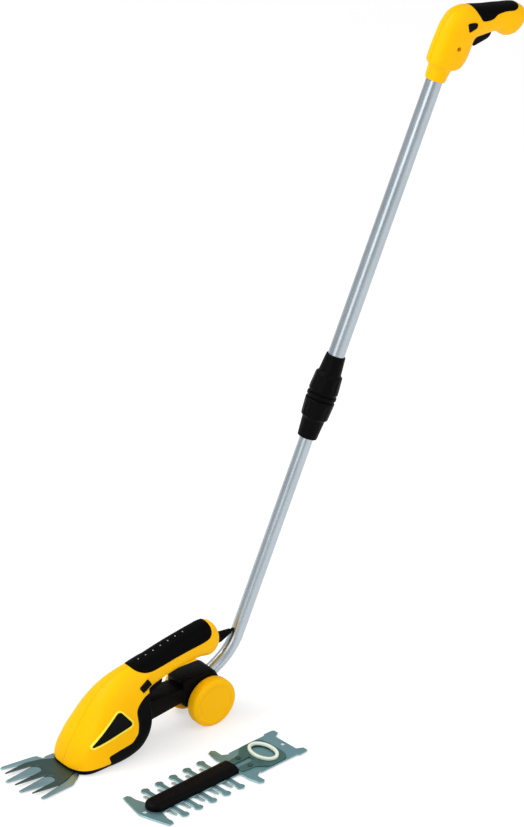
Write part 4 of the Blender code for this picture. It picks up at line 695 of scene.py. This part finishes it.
# Lock-off button and trigger: black ABS. The button has three finger ridges and is pressed before
# the trigger, which turns on two moulded pins in the throat.
def merged_copy(node):
    """A CAD solid with its loose triangles merged and those in one plane joined to one face."""
    mesh = frame["nodes"][node].data.copy()
    if "custom_normal" in mesh.attributes:
        mesh.attributes.remove(mesh.attributes["custom_normal"])
    work = bmesh.new()
    work.from_mesh(mesh)
    bmesh.ops.remove_doubles(work, verts=work.verts, dist=2e-6)
    bmesh.ops.dissolve_limit(work, angle_limit=math.radians(0.5), verts=work.verts, edges=work.edges)
    work.to_mesh(mesh)
    work.free()
    return placed(node, mesh)


def soften(item, width, segments=3, angle=30.0):
    """Round the edges sharper than an angle on a width in millimetres."""
    modifier = item.modifiers.new("rounding", "BEVEL")
    modifier.width = width / 1000
    modifier.segments = segments
    modifier.limit_method = "ANGLE"
    modifier.angle_limit = math.radians(angle)
    modifier.harden_normals = True
    return item


def left_face(node):
    """How far left a CAD solid reaches, in build-frame millimetres."""
    return float(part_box(node)[1].x) * 1000 - BUILD_ORIGIN[0] * 1000


button_face = left_face("shear_lock_button")
button = raw_object(prism(LOCK_OUTLINE, button_face - 12.0, button_face))
soften(dress(button, "lock_button", black_abs, "shear_lock", ["shear_lock_button"]), 0.6)
along_button = np.array((math.cos(LOCK_TURN), math.sin(LOCK_TURN)))
ridges = joined([
    prism(turned_rectangle(LOCK_CENTRE + shift * along_button, 0.5, 3.2, LOCK_TURN),
          button_face - 0.3, button_face + 0.35)
    for shift in (-3.2, 0.0, 3.2)])
dress(raw_object(ridges), "lock_button_ridges", black_abs, "shear_lock")
trigger = merged_copy("shear_trigger")
soften(dress(trigger, "grass_trigger", black_abs, "shear_trigger", ["shear_trigger"]), 0.9)


# Grass blades: two stamped plates of hardened steel. The comb below has four blunt teeth, and the
# thin cutter above swings across them. Their edges are ground to a narrow bright land.
def worked_metal(name, colour, shade, roughness, line=0.9, depth=0.02, stretch=(1, 30, 1), turn=0, edge=0.2):
    """Metal with parallel working lines.

    Noise stretched along one direction, and turned by an angle, makes lines of a spacing in
    millimetres that shift the gloss and stand a depth proud. A slow noise over 45 mm moves the
    colour towards a shade.
    """
    material, tree, place = new_finish(name)
    tree.nodes["Principled BSDF"].inputs["Metallic"].default_value = 1.0
    drift = add_node(tree, "TexNoise", {"Scale": 1000 / 45, "Detail": 3.0}, {"Vector": place})
    tinted(tree, colour, shade, drift)
    drawn = add_node(tree, "Mapping", {"Rotation": (0, 0, turn), "Scale": stretch}, {"Vector": place},
                     vector_type="TEXTURE")
    lines = add_node(tree, "TexNoise", {"Scale": 1000 / line, "Detail": 3.0}, {"Vector": drawn.outputs[0]})
    textured(tree, lines, roughness - 0.06, roughness + 0.08, 0.6, depth, edge)
    return material


# Rolled and ground tool steel: grey-green with the grinding lines along the teeth.
blade_steel = worked_metal("ground_blade_steel", "9ABAC2", "7B979C", 0.42)
cutter_steel = worked_metal("dark_cutter_steel", "526A66", "40524D", 0.42)
COMB_SPACING = 29.2
COMB_TIP_Y = -296.0
TOOTH_ROOT_Y = -252.0
PIVOT = (0.0, -200.0)
DRIVE_ARM = 35.0
SWING = math.radians(8.2)
COMB_BOTTOM = SOLE_THICKNESS + GAP
BLADE_BOTTOM = COMB_BOTTOM + PLATE + GAP


def ground_plate(outline, low, high, land, drop):
    """A plate whose top edge is ground: the outline, then the same a land further in and higher."""
    flat = np.array(outline, dtype=float)
    top = grown(flat, -land)
    rings = np.empty((3, len(flat), 3))
    rings[0, :, :2], rings[0, :, 2] = flat, low
    rings[1, :, :2], rings[1, :, 2] = flat, high - drop
    rings[2, :, :2], rings[2, :, 2] = top, high
    return skinned(rings)


def comb_outline():
    """Four blunt teeth, round gullets as half circles between them, shoulders and a neck."""
    gullet = 5.4
    turn = np.linspace(0, np.pi, 17)
    shoulder = COMB_TIP_Y + 13.0
    outline = [(-22.0, -183.0), (-22.0, -203.0), (-34.0, -207.0), (-34.5, -219.0),
               (-32, -224), (-41, -228), (-43, -234), (-47, shoulder + 6)]
    for k, y in enumerate((shoulder, COMB_TIP_Y, COMB_TIP_Y, shoulder)):
        x = (k - 1.5) * COMB_SPACING
        outline += [(x - 2.6, y + 2.2), (x - 1.0, y), (x + 1.0, y), (x + 2.6, y + 2.2)]
        if k < 3:
            middle = x + COMB_SPACING / 2
            outline += [(middle - gullet * math.cos(a), TOOTH_ROOT_Y + gullet * math.sin(a)) for a in turn]
    return outline + [(47.0, shoulder + 6.0), (43.0, -234.0), (41.0, -229.0), (33.0, -217.5),
                      (25, -208), (22, -203), (22, -183)]


def cutter_outline():
    """Three thin pointed teeth on a fan, and a tail that the drive moves."""
    root = TOOTH_ROOT_Y
    outline = [(-15.0, -153.0), (-15.0, -206.0), (-22.0, -216.0), (-30.0, -232.0), (-33.5, -246.0)]
    for k, tip in ((-1, -287.0), (0, -293.0), (1, -287.0)):
        x = k * COMB_SPACING
        outline += [(x - 5.4, root), (x - 1.2, tip + 2.0), (x, tip), (x + 1.2, tip + 2.0), (x + 5.4, root)]
        if k < 1:
            angle = np.linspace(np.pi, 0, 15)[1:-1]
            middle = x + COMB_SPACING / 2
            outline += [(middle + 9.2 * math.cos(a), root + 10.3 * math.sin(a)) for a in angle]
    return outline + [(-x, y) for x, y in outline[4::-1]]


def drilled(place, radius, sides=24):
    """A round hole from above at (X, Y): a rod that stands through every plate."""
    return rod((*place, -5), (*place, 20), radius, sides)


comb = raw_object(ground_plate(comb_outline(), COMB_BOTTOM, COMB_BOTTOM + PLATE, 1.5, 0.9))
carve(comb, cuts(drilled(PIVOT, 4.0, 40)))
dress(comb, "grass_comb", blade_steel, "shear_unit", ["blade_comb"], 12.0)
cutter = raw_object(ground_plate(cutter_outline(), BLADE_BOTTOM, BLADE_BOTTOM + CUTTER_PLATE, 0.55, 0.7))
window = 7.6 + DRIVE_ARM * math.sin(SWING)
carve(cutter, cuts(drilled(PIVOT, 4.0, 40), block((-window, -172.9, -5.0), (window, -157.1, 20.0))))
dress(cutter, "grass_cutter", cutter_steel, "moving_blade", ["moving_blade"], 12.0)


# Wheels: hollow yellow ABS discs on a steel axle, with a softly domed face and a rounded tread.
# A shallow moulded step runs round the face, and a small cap covers the axle's end.
WHEEL_PROFILE = np.array([
    (0, 32.7), (4.3, 32.7), (4.3, 19), (11, 19), (11, 23), (27.5, 23), (27.5, 19),
    (31, 19), (32.4, 19.6), (33.2, 20.6), (33.5, 21.8), (33.5, 30.6), (33.2, 32),
    (32.4, 33.3), (31, 34.3), (29.4, 34.8), (28.6, 35), (28.2, 35.5), (24.5, 35.7),
    (24.1, 35.4), (23.5, 35.4), (23.1, 35.8), (12, 36.15), (5, 36.28), (0, 36.3),
])
for name, side in (("left", 1), ("right", -1)):
    wheel = raw_object(turned(WHEEL_PROFILE, (0, 0, WHEEL_RADIUS), (side, 0, 0), 128))
    dress(wheel, f"yellow_wheel_{name}", yellow_abs, f"wheel_{name}", [f"wheel_{name}"], 40.0)


# Wheel carriage: two black ABS halves, left and right, that clip on the back of the head and
# hold the axle and the foot of the tube between them.
for name in ("left", "right"):
    half = merged_copy(f"carriage_{name}")
    dress(half, f"black_carriage_{name}", black_abs, "shear_unit", [f"carriage_{name}"], 30.0)


# Pole: drawn aluminium tubes of 18 and 22 mm, satin anodised. Fine lines run along the tubes, and
# the lower one is bent once where it leaves the carriage.
POLE_TILT = math.radians(23.85)
POLE_FOOT = np.array((72.4, 128.4))
POLE_AXIS = np.array((math.sin(POLE_TILT), math.cos(POLE_TILT)))
POLE_REAR = np.array((math.cos(POLE_TILT), -math.sin(POLE_TILT)))
TUBE_ENTRY = math.radians(30.0)
BEND_CORNER = -53.8
BEND_RADIUS = 80.0
ENTRY_LENGTH = 70.0
LOWER_RADIUS = 9.0
UPPER_RADIUS = 11.0
TUBE_WALL = 1.0
COLLAR_START = 246.0
COLLAR_HALF = 53.5
COLLAR_RING = 9.2
UPPER_TUBE_START = COLLAR_START + COLLAR_HALF + COLLAR_RING + GAP * 2 + 3.0
TUBE_OVERLAP = 130.0
NECK_START = 741.5
NECK_DEPTH = 34.0


def on_pole(along, behind=0.0):
    """Foot plus a length along the pole's axis and a length behind it."""
    return POLE_FOOT + along * POLE_AXIS + behind * POLE_REAR


def swept(path, radius, sides):
    """Circles of a radius round each path point, square to the path's tangent."""
    path = np.array(path, dtype=float)
    tangent = np.gradient(path, axis=0)
    tangent /= np.linalg.norm(tangent, axis=1)[:, None]
    angle = full_turn(sides)
    rings = np.empty((len(path), sides, 3))
    rings[:, :, 0] = radius * np.cos(angle)
    rings[:, :, 1] = path[:, :1] - tangent[:, 1:] * radius * np.sin(angle)
    rings[:, :, 2] = path[:, 1:] + tangent[:, :1] * radius * np.sin(angle)
    return rings


def drawn_tube(path, radius, sides=72):
    """A tube along a path: outer rings, then inner ones back, with the drawing direction stored."""
    rings = np.concatenate([swept(path, radius, sides), swept(path, radius - TUBE_WALL, sides)[::-1]])
    item = raw_object(looped(rings))
    steps_along = np.linalg.norm(np.diff(np.array(path), axis=0), axis=1)
    length = np.concatenate([[0.0], np.cumsum(steps_along)])
    drawn = np.empty(rings.shape)
    drawn[:, :, 0] = radius * np.cos(full_turn(sides))
    drawn[:, :, 1] = radius * np.sin(full_turn(sides))
    drawn[:, :, 2] = np.concatenate([length, length[::-1]])[:, None]
    store = item.data.attributes.new("drawn", "FLOAT_VECTOR", "POINT")
    store.data.foreach_set("vector", (drawn * 0.001).astype(np.float32).ravel())
    return item


aluminium = worked_metal(
    "satin_anodised_aluminium", "C3CDD4", "B4BFC7", 0.27, 0.8, 0.01, (1, 1, 40), edge=0.3)
tree = aluminium.node_tree
stored = add_node(tree, "Attribute", attribute_name="drawn")
tree.links.new(stored.outputs["Vector"], tree.nodes["Mapping"].inputs["Vector"])

entry = np.array((math.cos(TUBE_ENTRY), math.sin(TUBE_ENTRY)))
bend = math.pi / 2 - POLE_TILT - TUBE_ENTRY
corner = on_pole(BEND_CORNER)
centre = corner - BEND_RADIUS * math.tan(bend / 2) * entry + BEND_RADIUS * np.array((-entry[1], entry[0]))
arc = TUBE_ENTRY - math.pi / 2 + bend * np.linspace(0, 1, 25)
lower_path = np.vstack([
    corner - ENTRY_LENGTH * entry,
    centre + BEND_RADIUS * np.stack([np.cos(arc), np.sin(arc)], axis=1),
    on_pole(UPPER_TUBE_START + TUBE_OVERLAP),
])
lower_tube = drawn_tube(lower_path, LOWER_RADIUS)
dress(lower_tube, "bent_lower_tube", aluminium, "shear_unit", ["lower_tube"])
upper_path = [on_pole(s) for s in np.linspace(UPPER_TUBE_START, NECK_START + NECK_DEPTH, 9)]
upper_tube = drawn_tube(upper_path, UPPER_RADIUS)
dress(upper_tube, "sliding_upper_tube", aluminium, "pole_upper", ["upper_tube"])


# Lead: a black moulded plug in the shear's socket, a relief with six shallow ribs behind it, and
# the round cable that runs on inside the lower tube.
plug_base = 2 * GAP + 4.0
relief_length = 17.0
relief_end = plug_base + relief_length
cable_seat = relief_end - 6.0
relief = [(0, plug_base), (6.2, plug_base)]
for k in range(6):
    start = plug_base + relief_length * (k + 0.12) / 6
    stop = plug_base + relief_length * (k + 0.72) / 6
    radius = 6.7 - 2.9 * k / 5
    relief += [(radius - 0.5, start - 0.2), (radius, start + 0.3)]
    relief += [(radius - 0.15, stop - 0.3), (radius - 0.9, stop + 0.1)]
relief += [(3.2, relief_end), (2.5, relief_end), (2.5, cable_seat), (0, cable_seat)]
plug = [(0, -8.0), (3.0, -8.0), (3.0, GAP), (6.6, GAP), (7.2, GAP + 0.6), (7.2, GAP + 3.4),
        (6.6, GAP + 4.0), (0, GAP + 4.0)]
for name, profile, node in (
        ("ribbed_lead_relief", relief, "strain_relief"), ("lead_plug", plug, "cable_plug")):
    piece = raw_object(turned(profile, (0, *SOCKET_STOP), (0, *PLUG_DIRECTION), 48))
    dress(piece, name, black_abs, "shear_unit", [node], 45.0)
lead_start = SOCKET_STOP + (cable_seat + GAP) * PLUG_DIRECTION
lead_route = [lead_start + a * PLUG_DIRECTION for a in (0.0, 5.0, 10.0, 14.5)]
lead_route += [on_pole(3.0, -1.5)] + [on_pole(34.0 + 100.0 * k) for k in range(4)]
lead_route.append(on_pole(UPPER_TUBE_START + TUBE_OVERLAP - 4.0))
lead = raw_object(skinned(swept(curve_through(np.array(lead_route), 8), 2.2, 20)))
dress(lead, "lead_in_lower_tube", black_abs, "shear_unit", ["lower_cable"])


# Twist-lock collar: black ABS nut, grooved ring and body over a slit clamp sleeve. The wide bands
# carry shallow flutes for the hand.
FLUTES = 12
FLUTE_DEPTH = 0.55
FLUTE_FADE = 2.5
BAND_RADIUS = 14.0


def fluted(profile, start, bands=(), sides=144):
    """A profile turned round the pole from a length along it, with flutes in its bands.

    In a band, where the radius is over BAND_RADIUS, it dips by the flutes' depth times a clipped
    cosine, and the dip fades over FLUTE_FADE at the band's ends.
    """
    flat = np.array(profile, dtype=float)
    fine = []
    for first, last in zip(flat, np.roll(flat, -1, axis=0)):
        share = np.linspace(0, 1, max(2, int(abs(last[1] - first[1]) / 1.5) + 1))[:-1, None]
        fine.append(first + (last - first) * share)
    fine = np.vstack(fine)
    weight = np.zeros(len(fine))
    for low, high in bands:
        inside = np.clip(np.minimum(fine[:, 1] - low, high - fine[:, 1]) / FLUTE_FADE, 0, 1)
        weight = np.maximum(weight, inside)
    weight *= fine[:, 0] > BAND_RADIUS
    dip = FLUTE_DEPTH * np.clip(0.25 + np.cos(FLUTES * full_turn(sides)), 0, 1)
    radius = fine[:, :1] - weight[:, None] * dip[None, :]
    spoke = spokes(np.array((1.0, 0.0, 0.0)), np.array((0.0, *POLE_REAR)), sides)
    axis = np.array((0.0, *POLE_AXIS))
    foot = np.array((0.0, *on_pole(start)))
    return looped(foot + fine[:, 1, None, None] * axis + radius[:, :, None] * spoke)


half = COLLAR_HALF
top = half - 1.7
flare = [(15.0, 26.4), (15.6, 27.3), (17.3, 28.6), (17.8, 29.6), (19.3, half - 3.4), (19.3, half - 1.8),
         (18.9, half - 0.7), (18.0, half)]
nut = [(9.3, 0), (11.6, 0), (12.5, 0.5), (12.9, 1.6)] + flare + [(11.3, half), (11.3, 16.0), (9.3, 16.0)]
ring = [(11.3, 0), (17.0, 0), (17.0, 2.2), (18.9, 2.5), (19.5, 3.2), (19.5, 6.0), (18.9, 6.7),
        (17, 7), (17, COLLAR_RING), (11.3, COLLAR_RING)]
body = [(11.3, 0)] + [(radius, half - along) for radius, along in reversed(flare)]
body += [(12.9, top - 1.6), (12.5, top - 0.5), (11.6, top), (11.3, top)]
ring_start = COLLAR_START + half + GAP
for name, shape, rides_on, node in (
        ("twist_lock_nut", fluted(nut, COLLAR_START, [(30.5, 50.0)]), "collar_nut", "collar_nut"),
        ("grooved_collar_ring", fluted(ring, ring_start), "pole_upper", "collar_ring"),
        ("fluted_collar_body", fluted(body, ring_start + COLLAR_RING + GAP, [(3.5, 23.0)]),
         "pole_upper", "collar_body")):
    dress(raw_object(shape), name, black_abs, rides_on, [node], 38.0)


# Upper handle: two yellow ABS halves screwed from both sides, with a black soft inlay on the back
# of the grip, a black trigger in the throat and a small lock-off button on the left.
ROUND_RIBS = 3
HANDLE_TRIM = 0.15
WALL_CHANGE_BEHIND = -8.0
WALL_CHANGE_DEPTH = 16.0
HANDLE_SLOT_HALF = 6.6
# A rib's numbers: lengths along the pole and behind it of its front end, the same of its rear end,
# and its half width. The first ones are round, and the rest are superellipses.
HANDLE_RIBS = np.array([
    (4.5, -13.4, 4.5, 13.6, 13.6),
    (13, -14.2, 13, 14.8, 14.4),
    (22.5, -15.4, 21, 17.5, 15.2),
    (27, -19.4, 22.8, 23, 17),
    (36, -20.6, 27, 29.8, 18.2),
    (50, -20.6, 39, 34.4, 18.8),
    (66, -19.8, 53.5, 35.2, 19),
    (82.5, -17.4, 62, 34.8, 19),
    (97.5, -11, 66.5, 36.3, 18.6),
    (106.6, 3.5, 69, 40, 18),
    (109, 20, 71.3, 45.5, 17.4),
    (111.2, 38, 74.4, 52.5, 16.8),
    (114.2, 55, 77.8, 61, 16.4),
    (116.4, 70, 78.5, 68.5, 16.6),
    (118.4, 81, 76, 76.5, 17),
    (118.9, 91, 74.3, 85, 17),
    (116.2, 100.5, 76.8, 94.5, 15.6),
    (111, 106.3, 83.5, 101.5, 12.2),
    (105, 108.3, 92, 105.5, 7.2),
])


def on_handle(points):
    """(along, behind) pairs from the neck's lower end as (Y, Z)."""
    flat = np.asarray(points, dtype=float).reshape(-1, 2)
    return POLE_FOOT + (NECK_START + flat[:, :1]) * POLE_AXIS + flat[:, 1:] * POLE_REAR


def handle_form(body_inset, grip_inset):
    """The handle's skin moved inwards, more in the grip than in the body."""
    share = np.clip((HANDLE_RIBS[:, 1] - WALL_CHANGE_BEHIND) / WALL_CHANGE_DEPTH, 0.0, 1.0)
    rows = np.zeros((len(HANDLE_RIBS), 8))
    rows[:, 0:2] = on_handle(HANDLE_RIBS[:, 0:2])
    rows[:, 2:4] = on_handle(HANDLE_RIBS[:, 2:4])
    rows[:, 4:6] = HANDLE_RIBS[:, 4:5]
    rows[:, 6:8] = 2.4
    rows[:ROUND_RIBS, 6:8] = 2.0
    rows = inset_ribs(rows, body_inset + (grip_inset - body_inset) * share)
    return skinned(rib_rings(curve_through(rows, SKIN_STEPS), 72))


HANDLE_GRIP_OUTLINE = rounded(on_handle([
    (140, 4), (111, 13.5), (103.5, 20.5), (94, 30.5), (96, 40.5), (98.5, 47.5),
    (105, 52.5), (110, 66.5), (112.5, 82), (118, 90), (140, 92)]), 4)
HANDLE_SLOT = on_handle([(53.5, 32.5), (88.5, 29.6), (95.0, 50.0), (95.0, 62.8), (70.0, 64.0), (51.5, 41.5)])
HANDLE_LOCK_OUTLINE = rounded(on_handle([
    (88.6, 6), (91, 14), (91, 22), (84.8, 22.6), (77.4, 12.5)]), 2.4)
HANDLE_BOSSES = [(on_handle((54.0, 5.0))[0], 1), (on_handle((93.0, 85.0))[0], -1)]
handle_pivot = on_handle((87.4, 56.2))[0]

blocks = [
    prism(on_handle([(80.0, 51.0), (93.0, 51.0), (93.0, 61.2), (80.0, 61.2)]), -30, 30),
    prism(on_handle([(100.0, 36.0), (112.0, 36.0), (112.0, 45.0), (100.0, 45.0)]), -4, 4),
] + [crossbar(place, 60, POST_RADIUS) for place, _ in HANDLE_BOSSES]
tube_end = on_pole(NECK_START + NECK_DEPTH + GAP)
holes = [
    recess(HANDLE_GRIP_OUTLINE, handle_form, GRIP_THICKNESS),
    rod((0, *on_pole(NECK_START - 10.0)), (0, *tube_end), UPPER_RADIUS + GAP, 72),
    prism(HANDLE_SLOT, -HANDLE_SLOT_HALF, HANDLE_SLOT_HALF),
    crossbar(handle_pivot, HINGE_HALF, HINGE_RADIUS),
    prism(grown(HANDLE_LOCK_OUTLINE, GAP), 5.0, 60.0),
]
holes += [screw_hole(place, side) for place, side in HANDLE_BOSSES]
shell = hollow(handle_form(HANDLE_TRIM, HANDLE_TRIM), handle_form(HEAD_WALL, HANDLE_WALL),
               handle_form(HEAD_WALL / 2, HANDLE_WALL - 0.9), blocks, holes)
split(shell, 40.0, (300.0, 700.0), (600.0, 1000.0), "yellow_handle", "pole_upper", "handle")
inlay = inlaid(HANDLE_GRIP_OUTLINE, handle_form, HANDLE_TRIM - GRIP_PROUD, GRIP_THICKNESS)
dress(inlay, "soft_handle_inlay", soft_rubber, "pole_upper", ["handle_grip"])
trigger = merged_copy("handle_trigger")
dress(trigger, "handle_trigger_lever", black_abs, "handle_trigger", ["handle_trigger"])
soften(trigger, 0.8)
button_face = left_face("handle_lock_button")
button = raw_object(prism(HANDLE_LOCK_OUTLINE, button_face - 10.0, button_face))
soften(dress(button, "handle_lock_off", black_abs, "handle_lock", ["handle_lock_button"]), 0.8)


# Spare shrub blade: a stamped comb with arrow-headed teeth, a thinner cutter under it, a drive
# plate with an oval acetal ring, two rivets and a black cover bar. It lies flat on the ground.
SHRUB_TURN = math.radians(6.0)
SHRUB_NOSE = np.array((150.0, -206.0))
SHRUB_AXIS = np.array((-math.sin(SHRUB_TURN), math.cos(SHRUB_TURN)))
SHRUB_SIDE = np.array((math.cos(SHRUB_TURN), math.sin(SHRUB_TURN)))
SHRUB_PITCH = 24.0
SHRUB_TEETH = 5
SHRUB_REACH = 42.5
FIRST_TOOTH = 44.0
RIVET_ALONG = 181.0
RIVET_SIDES = (-11.5, 11.5)
RING_CENTRE = 214.0
RING_STRETCH = 7.8
RING_HEIGHT = 3.6
COVER_START = 14.5
COVER_HALF_WIDTH = 14.5
COVER_HEIGHT = 9.5
CUTTER_TOP = 1.3
SHRUB_COMB_BOTTOM = CUTTER_TOP + GAP
SHRUB_COMB_TOP = SHRUB_COMB_BOTTOM + PLATE
SLIDER_BOTTOM = SHRUB_COMB_TOP + GAP
SLIDER_TOP = SLIDER_BOTTOM + PLATE


def on_shrub(points):
    """(along, side) pairs from the blade's nose as (X, Y)."""
    flat = np.asarray(points, dtype=float).reshape(-1, 2)
    return SHRUB_NOSE + flat[:, :1] * SHRUB_AXIS + flat[:, 1:] * SHRUB_SIDE


def both_sides(half):
    """One side's outline, nose to tail, and its mirror image back."""
    return half + [(u, -v) for u, v in reversed(half)]


def shrub_teeth(first, reach, head, neck, root):
    """Arrow-headed teeth along one side: a neck, two shoulders and a blunt point each."""
    half = []
    for k in range(SHRUB_TEETH):
        u = first + k * SHRUB_PITCH
        half += [(u - neck, root), (u - neck, reach - 9.5), (u - head, reach - 7.0),
                 (u - head, reach - 3.0), (u - 1.5, reach), (u + 1.5, reach), (u + head, reach - 3.0),
                 (u + head, reach - 7.0), (u + neck, reach - 9.5), (u + neck, root)]
    return half


def hole_through(along, side, half_length, half_width):
    """A rectangular hole from above, centred at a place along and beside the blade's axis."""
    return prism(on_shrub(turned_rectangle((along, side), half_length, half_width, 0.0)), -5, 20, "Z")


def oval(radius):
    """An ellipse round the drive ring's centre: RING_STRETCH wider across the blade than along it."""
    angle = full_turn(64)
    return on_shrub(np.stack(
        [RING_CENTRE + radius * np.cos(angle), (radius + RING_STRETCH) * np.sin(angle)], axis=1))


shrub_steel = worked_metal("ground_shrub_steel", "8AB4BC", "74999F", 0.46, turn=SHRUB_TURN)
bright_steel = worked_metal("bright_cutter_steel", "C9DEE0", "B4CACC", 0.46, turn=SHRUB_TURN)
plated_steel = worked_metal("zinc_plated_drive_plate", "5F837F", "50736F", 0.4, turn=SHRUB_TURN)
acetal = moulded_plastic("natural_acetal", "DDE6D6", "D2DCCB", 0.38, 1.5, 0.01, 0.4)
reach = SHRUB_REACH
half = [(0.0, 3.0), (3.5, 16.0), (8.0, 33.0), (11.5, reach + 1.5), (19.0, reach + 1.5),
        (21.5, reach - 4.0), (21.0, 30.0), (25.0, 17.0)]
half += shrub_teeth(FIRST_TOOTH, reach, 6.1, 4.2, 15.0)
hook = FIRST_TOOTH + SHRUB_TEETH * SHRUB_PITCH
half += [(hook - 5.0, 15.0), (hook - 5.0, 32.0), (hook - 1.0, reach + 5.5), (hook + 5.0, reach + 8.0),
         (hook + 9.5, reach + 4.0), (hook + 9.0, 33.5), (hook + 17.0, 28.5), (hook + 19.0, 31.0),
         (244, 31), (246.5, 33.5), (259, 33), (262, 31), (262, 24), (257.5, 21.5),
         (253.5, 19.5)]
comb = raw_object(ground_plate(on_shrub(both_sides(half)), SHRUB_COMB_BOTTOM, SHRUB_COMB_TOP, 0.7, 0.6))
rivets = [on_shrub((RIVET_ALONG, side))[0] for side in RIVET_SIDES]
rivet_holes = [drilled(place, 2.5) for place in rivets]
carve(comb, cuts(
    drilled(on_shrub((9.0, 0.0))[0], 3.2, 36),
    hole_through(247.75, 0.0, 2.75, 3.0),
    *[hole_through(RIVET_ALONG, side, 8.0, 2.8) for side in RIVET_SIDES]))
dress(comb, "shrub_comb_plate", shrub_steel, "shrub_blade", ["shrub_comb"], 12.0)
half = [(24.0, 6.0), (28.0, 10.0)]
half += shrub_teeth(FIRST_TOOTH - SHRUB_PITCH * 0.34, reach - 11.8, 3.4, 3.4, 14.0)
half += [(190.0, 14.0), (194.0, 10.0)]
cutter = raw_object(ground_plate(on_shrub(both_sides(half)), 0.0, CUTTER_TOP, 0.5, 0.5))
carve(cutter, cuts(*rivet_holes))
dress(cutter, "shrub_cutter_plate", bright_steel, "shrub_drive", ["shrub_cutter"], 12.0)

neck = [(164.5, 13.0), (166.0, 15.0), (186.0, 17.0), (194.0, 24.0), (199.0, 29.0), (226.0, 29.0),
        (232.5, 24.0), (235.0, 12.0)]
outline = rounded(on_shrub(both_sides(neck)), 4.0)
slider = raw_object(ground_plate(outline, SLIDER_BOTTOM, SLIDER_TOP, 0.4, 0.4))
carve(slider, cuts(prism(oval(13.8), -5, 20, "Z"), hole_through(177.0, 0.0, 17.0, 4.5), *rivet_holes))
dress(slider, "shrub_drive_plate", plated_steel, "shrub_drive", ["shrub_slider"], 12.0)
low = SLIDER_TOP + GAP
high = SLIDER_TOP + RING_HEIGHT
rows = [(16.0, low), (16.0, high - 0.7), (15.4, high - 0.1), (14.8, high), (12.8, high),
        (12.1, high - 0.2), (11.6, high - 0.8), (11.6, low)]
rings = np.stack([np.column_stack([oval(radius), np.full(64, z)]) for radius, z in rows])
dress(raw_object(looped(rings)), "acetal_drive_ring", acetal, "shrub_drive", ["shrub_drive_ring"],
      40.0)
rivet = [(0, 0.2), (2.2, 0.2), (2.2, low), (3.6, low), (3.5, low + 0.5), (2.6, low + 0.9), (0, low + 1)]
for k, place in enumerate(rivets, 1):
    head = raw_object(turned(rivet, (*place, 0), (0, 0, 1), 32))
    dress(head, f"shrub_rivet_head_{k}", cutter_steel, "shrub_drive", [f"shrub_rivet_{k}"], 40)


def cover_rings():
    """Cross-sections of the cover bar: half superellipses that shrink in an arc at the nose."""
    base = SHRUB_COMB_TOP + GAP
    rise = SHRUB_COMB_TOP + COVER_HEIGHT - base
    arc = np.linspace(0.08, np.pi / 2, 16)
    nose = COVER_START + COVER_HALF_WIDTH * (1 - np.cos(arc))
    along = np.concatenate([nose, np.linspace(30.0, 158.0, 12), [158.7, 159.0]])
    wide = np.concatenate([COVER_HALF_WIDTH * np.sin(arc), np.full(13, COVER_HALF_WIDTH), [13.6]])
    tall = np.concatenate([rise * np.sin(arc) ** 0.45, np.full(13, rise), [rise - 0.9]])
    turn = np.linspace(0, np.pi, 33)
    side = np.sign(np.cos(turn)) * np.abs(np.cos(turn)) ** (2 / 3.4)
    flat = on_shrub(np.stack([np.repeat(along, 33), np.outer(wide, side).ravel()], axis=1))
    height = base + np.outer(tall, np.abs(np.sin(turn)) ** (2 / 3.0)).ravel()
    return np.column_stack([flat, height]).reshape(len(along), 33, 3)


cover = raw_object(skinned(cover_rings()))
dress(cover, "shrub_cover_bar", black_abs, "shrub_blade", ["shrub_cover"], 40.0)


# Inner pieces keep their CAD solids: steel gear frame and pins, motor can, cell, circuit board,
# brass pinion, acetal gear and guides, screws, switches and the lead in the upper tube.
plain_steel = worked_metal("turned_steel", "AEB6B8", "9AA3A6", 0.32, 0.6, 0.01, (1, 1, 10))
screw_steel = worked_metal("phosphated_steel", "5A6163", "4B5153", 0.42, 0.6, 0.01, (1, 1, 10))
brass = worked_metal("turned_brass", "C2A155", "B39148", 0.32, 0.6, 0.01, (1, 1, 10))
cell_sleeve = moulded_plastic("shrink_sleeve_pvc", "2E6F9E", "28638E", 0.35, 3.0, 0.01, 0.3)
solder_mask = moulded_plastic("green_solder_mask", "1F5A3A", "194D31", 0.45, 1.0, 0.01, 0.1)
FINISHES = {
    "blade_steel": plain_steel, "dark_steel": screw_steel, "brass": brass, "cell_sleeve": cell_sleeve,
    "board_green": solder_mask, "pale_plastic": acetal, "black_abs": black_abs, "soft_black": soft_rubber,
    "yellow_abs": yellow_abs, "aluminium": aluminium,
}
slots = {row["node"]: row["material_slot"] for row in frame["record"]["subparts"]}
for name, node in frame["nodes"].items():
    if not node.hide_render:
        node.data.materials.clear()
        node.data.materials.append(FINISHES[slots[name]])

low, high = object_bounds()
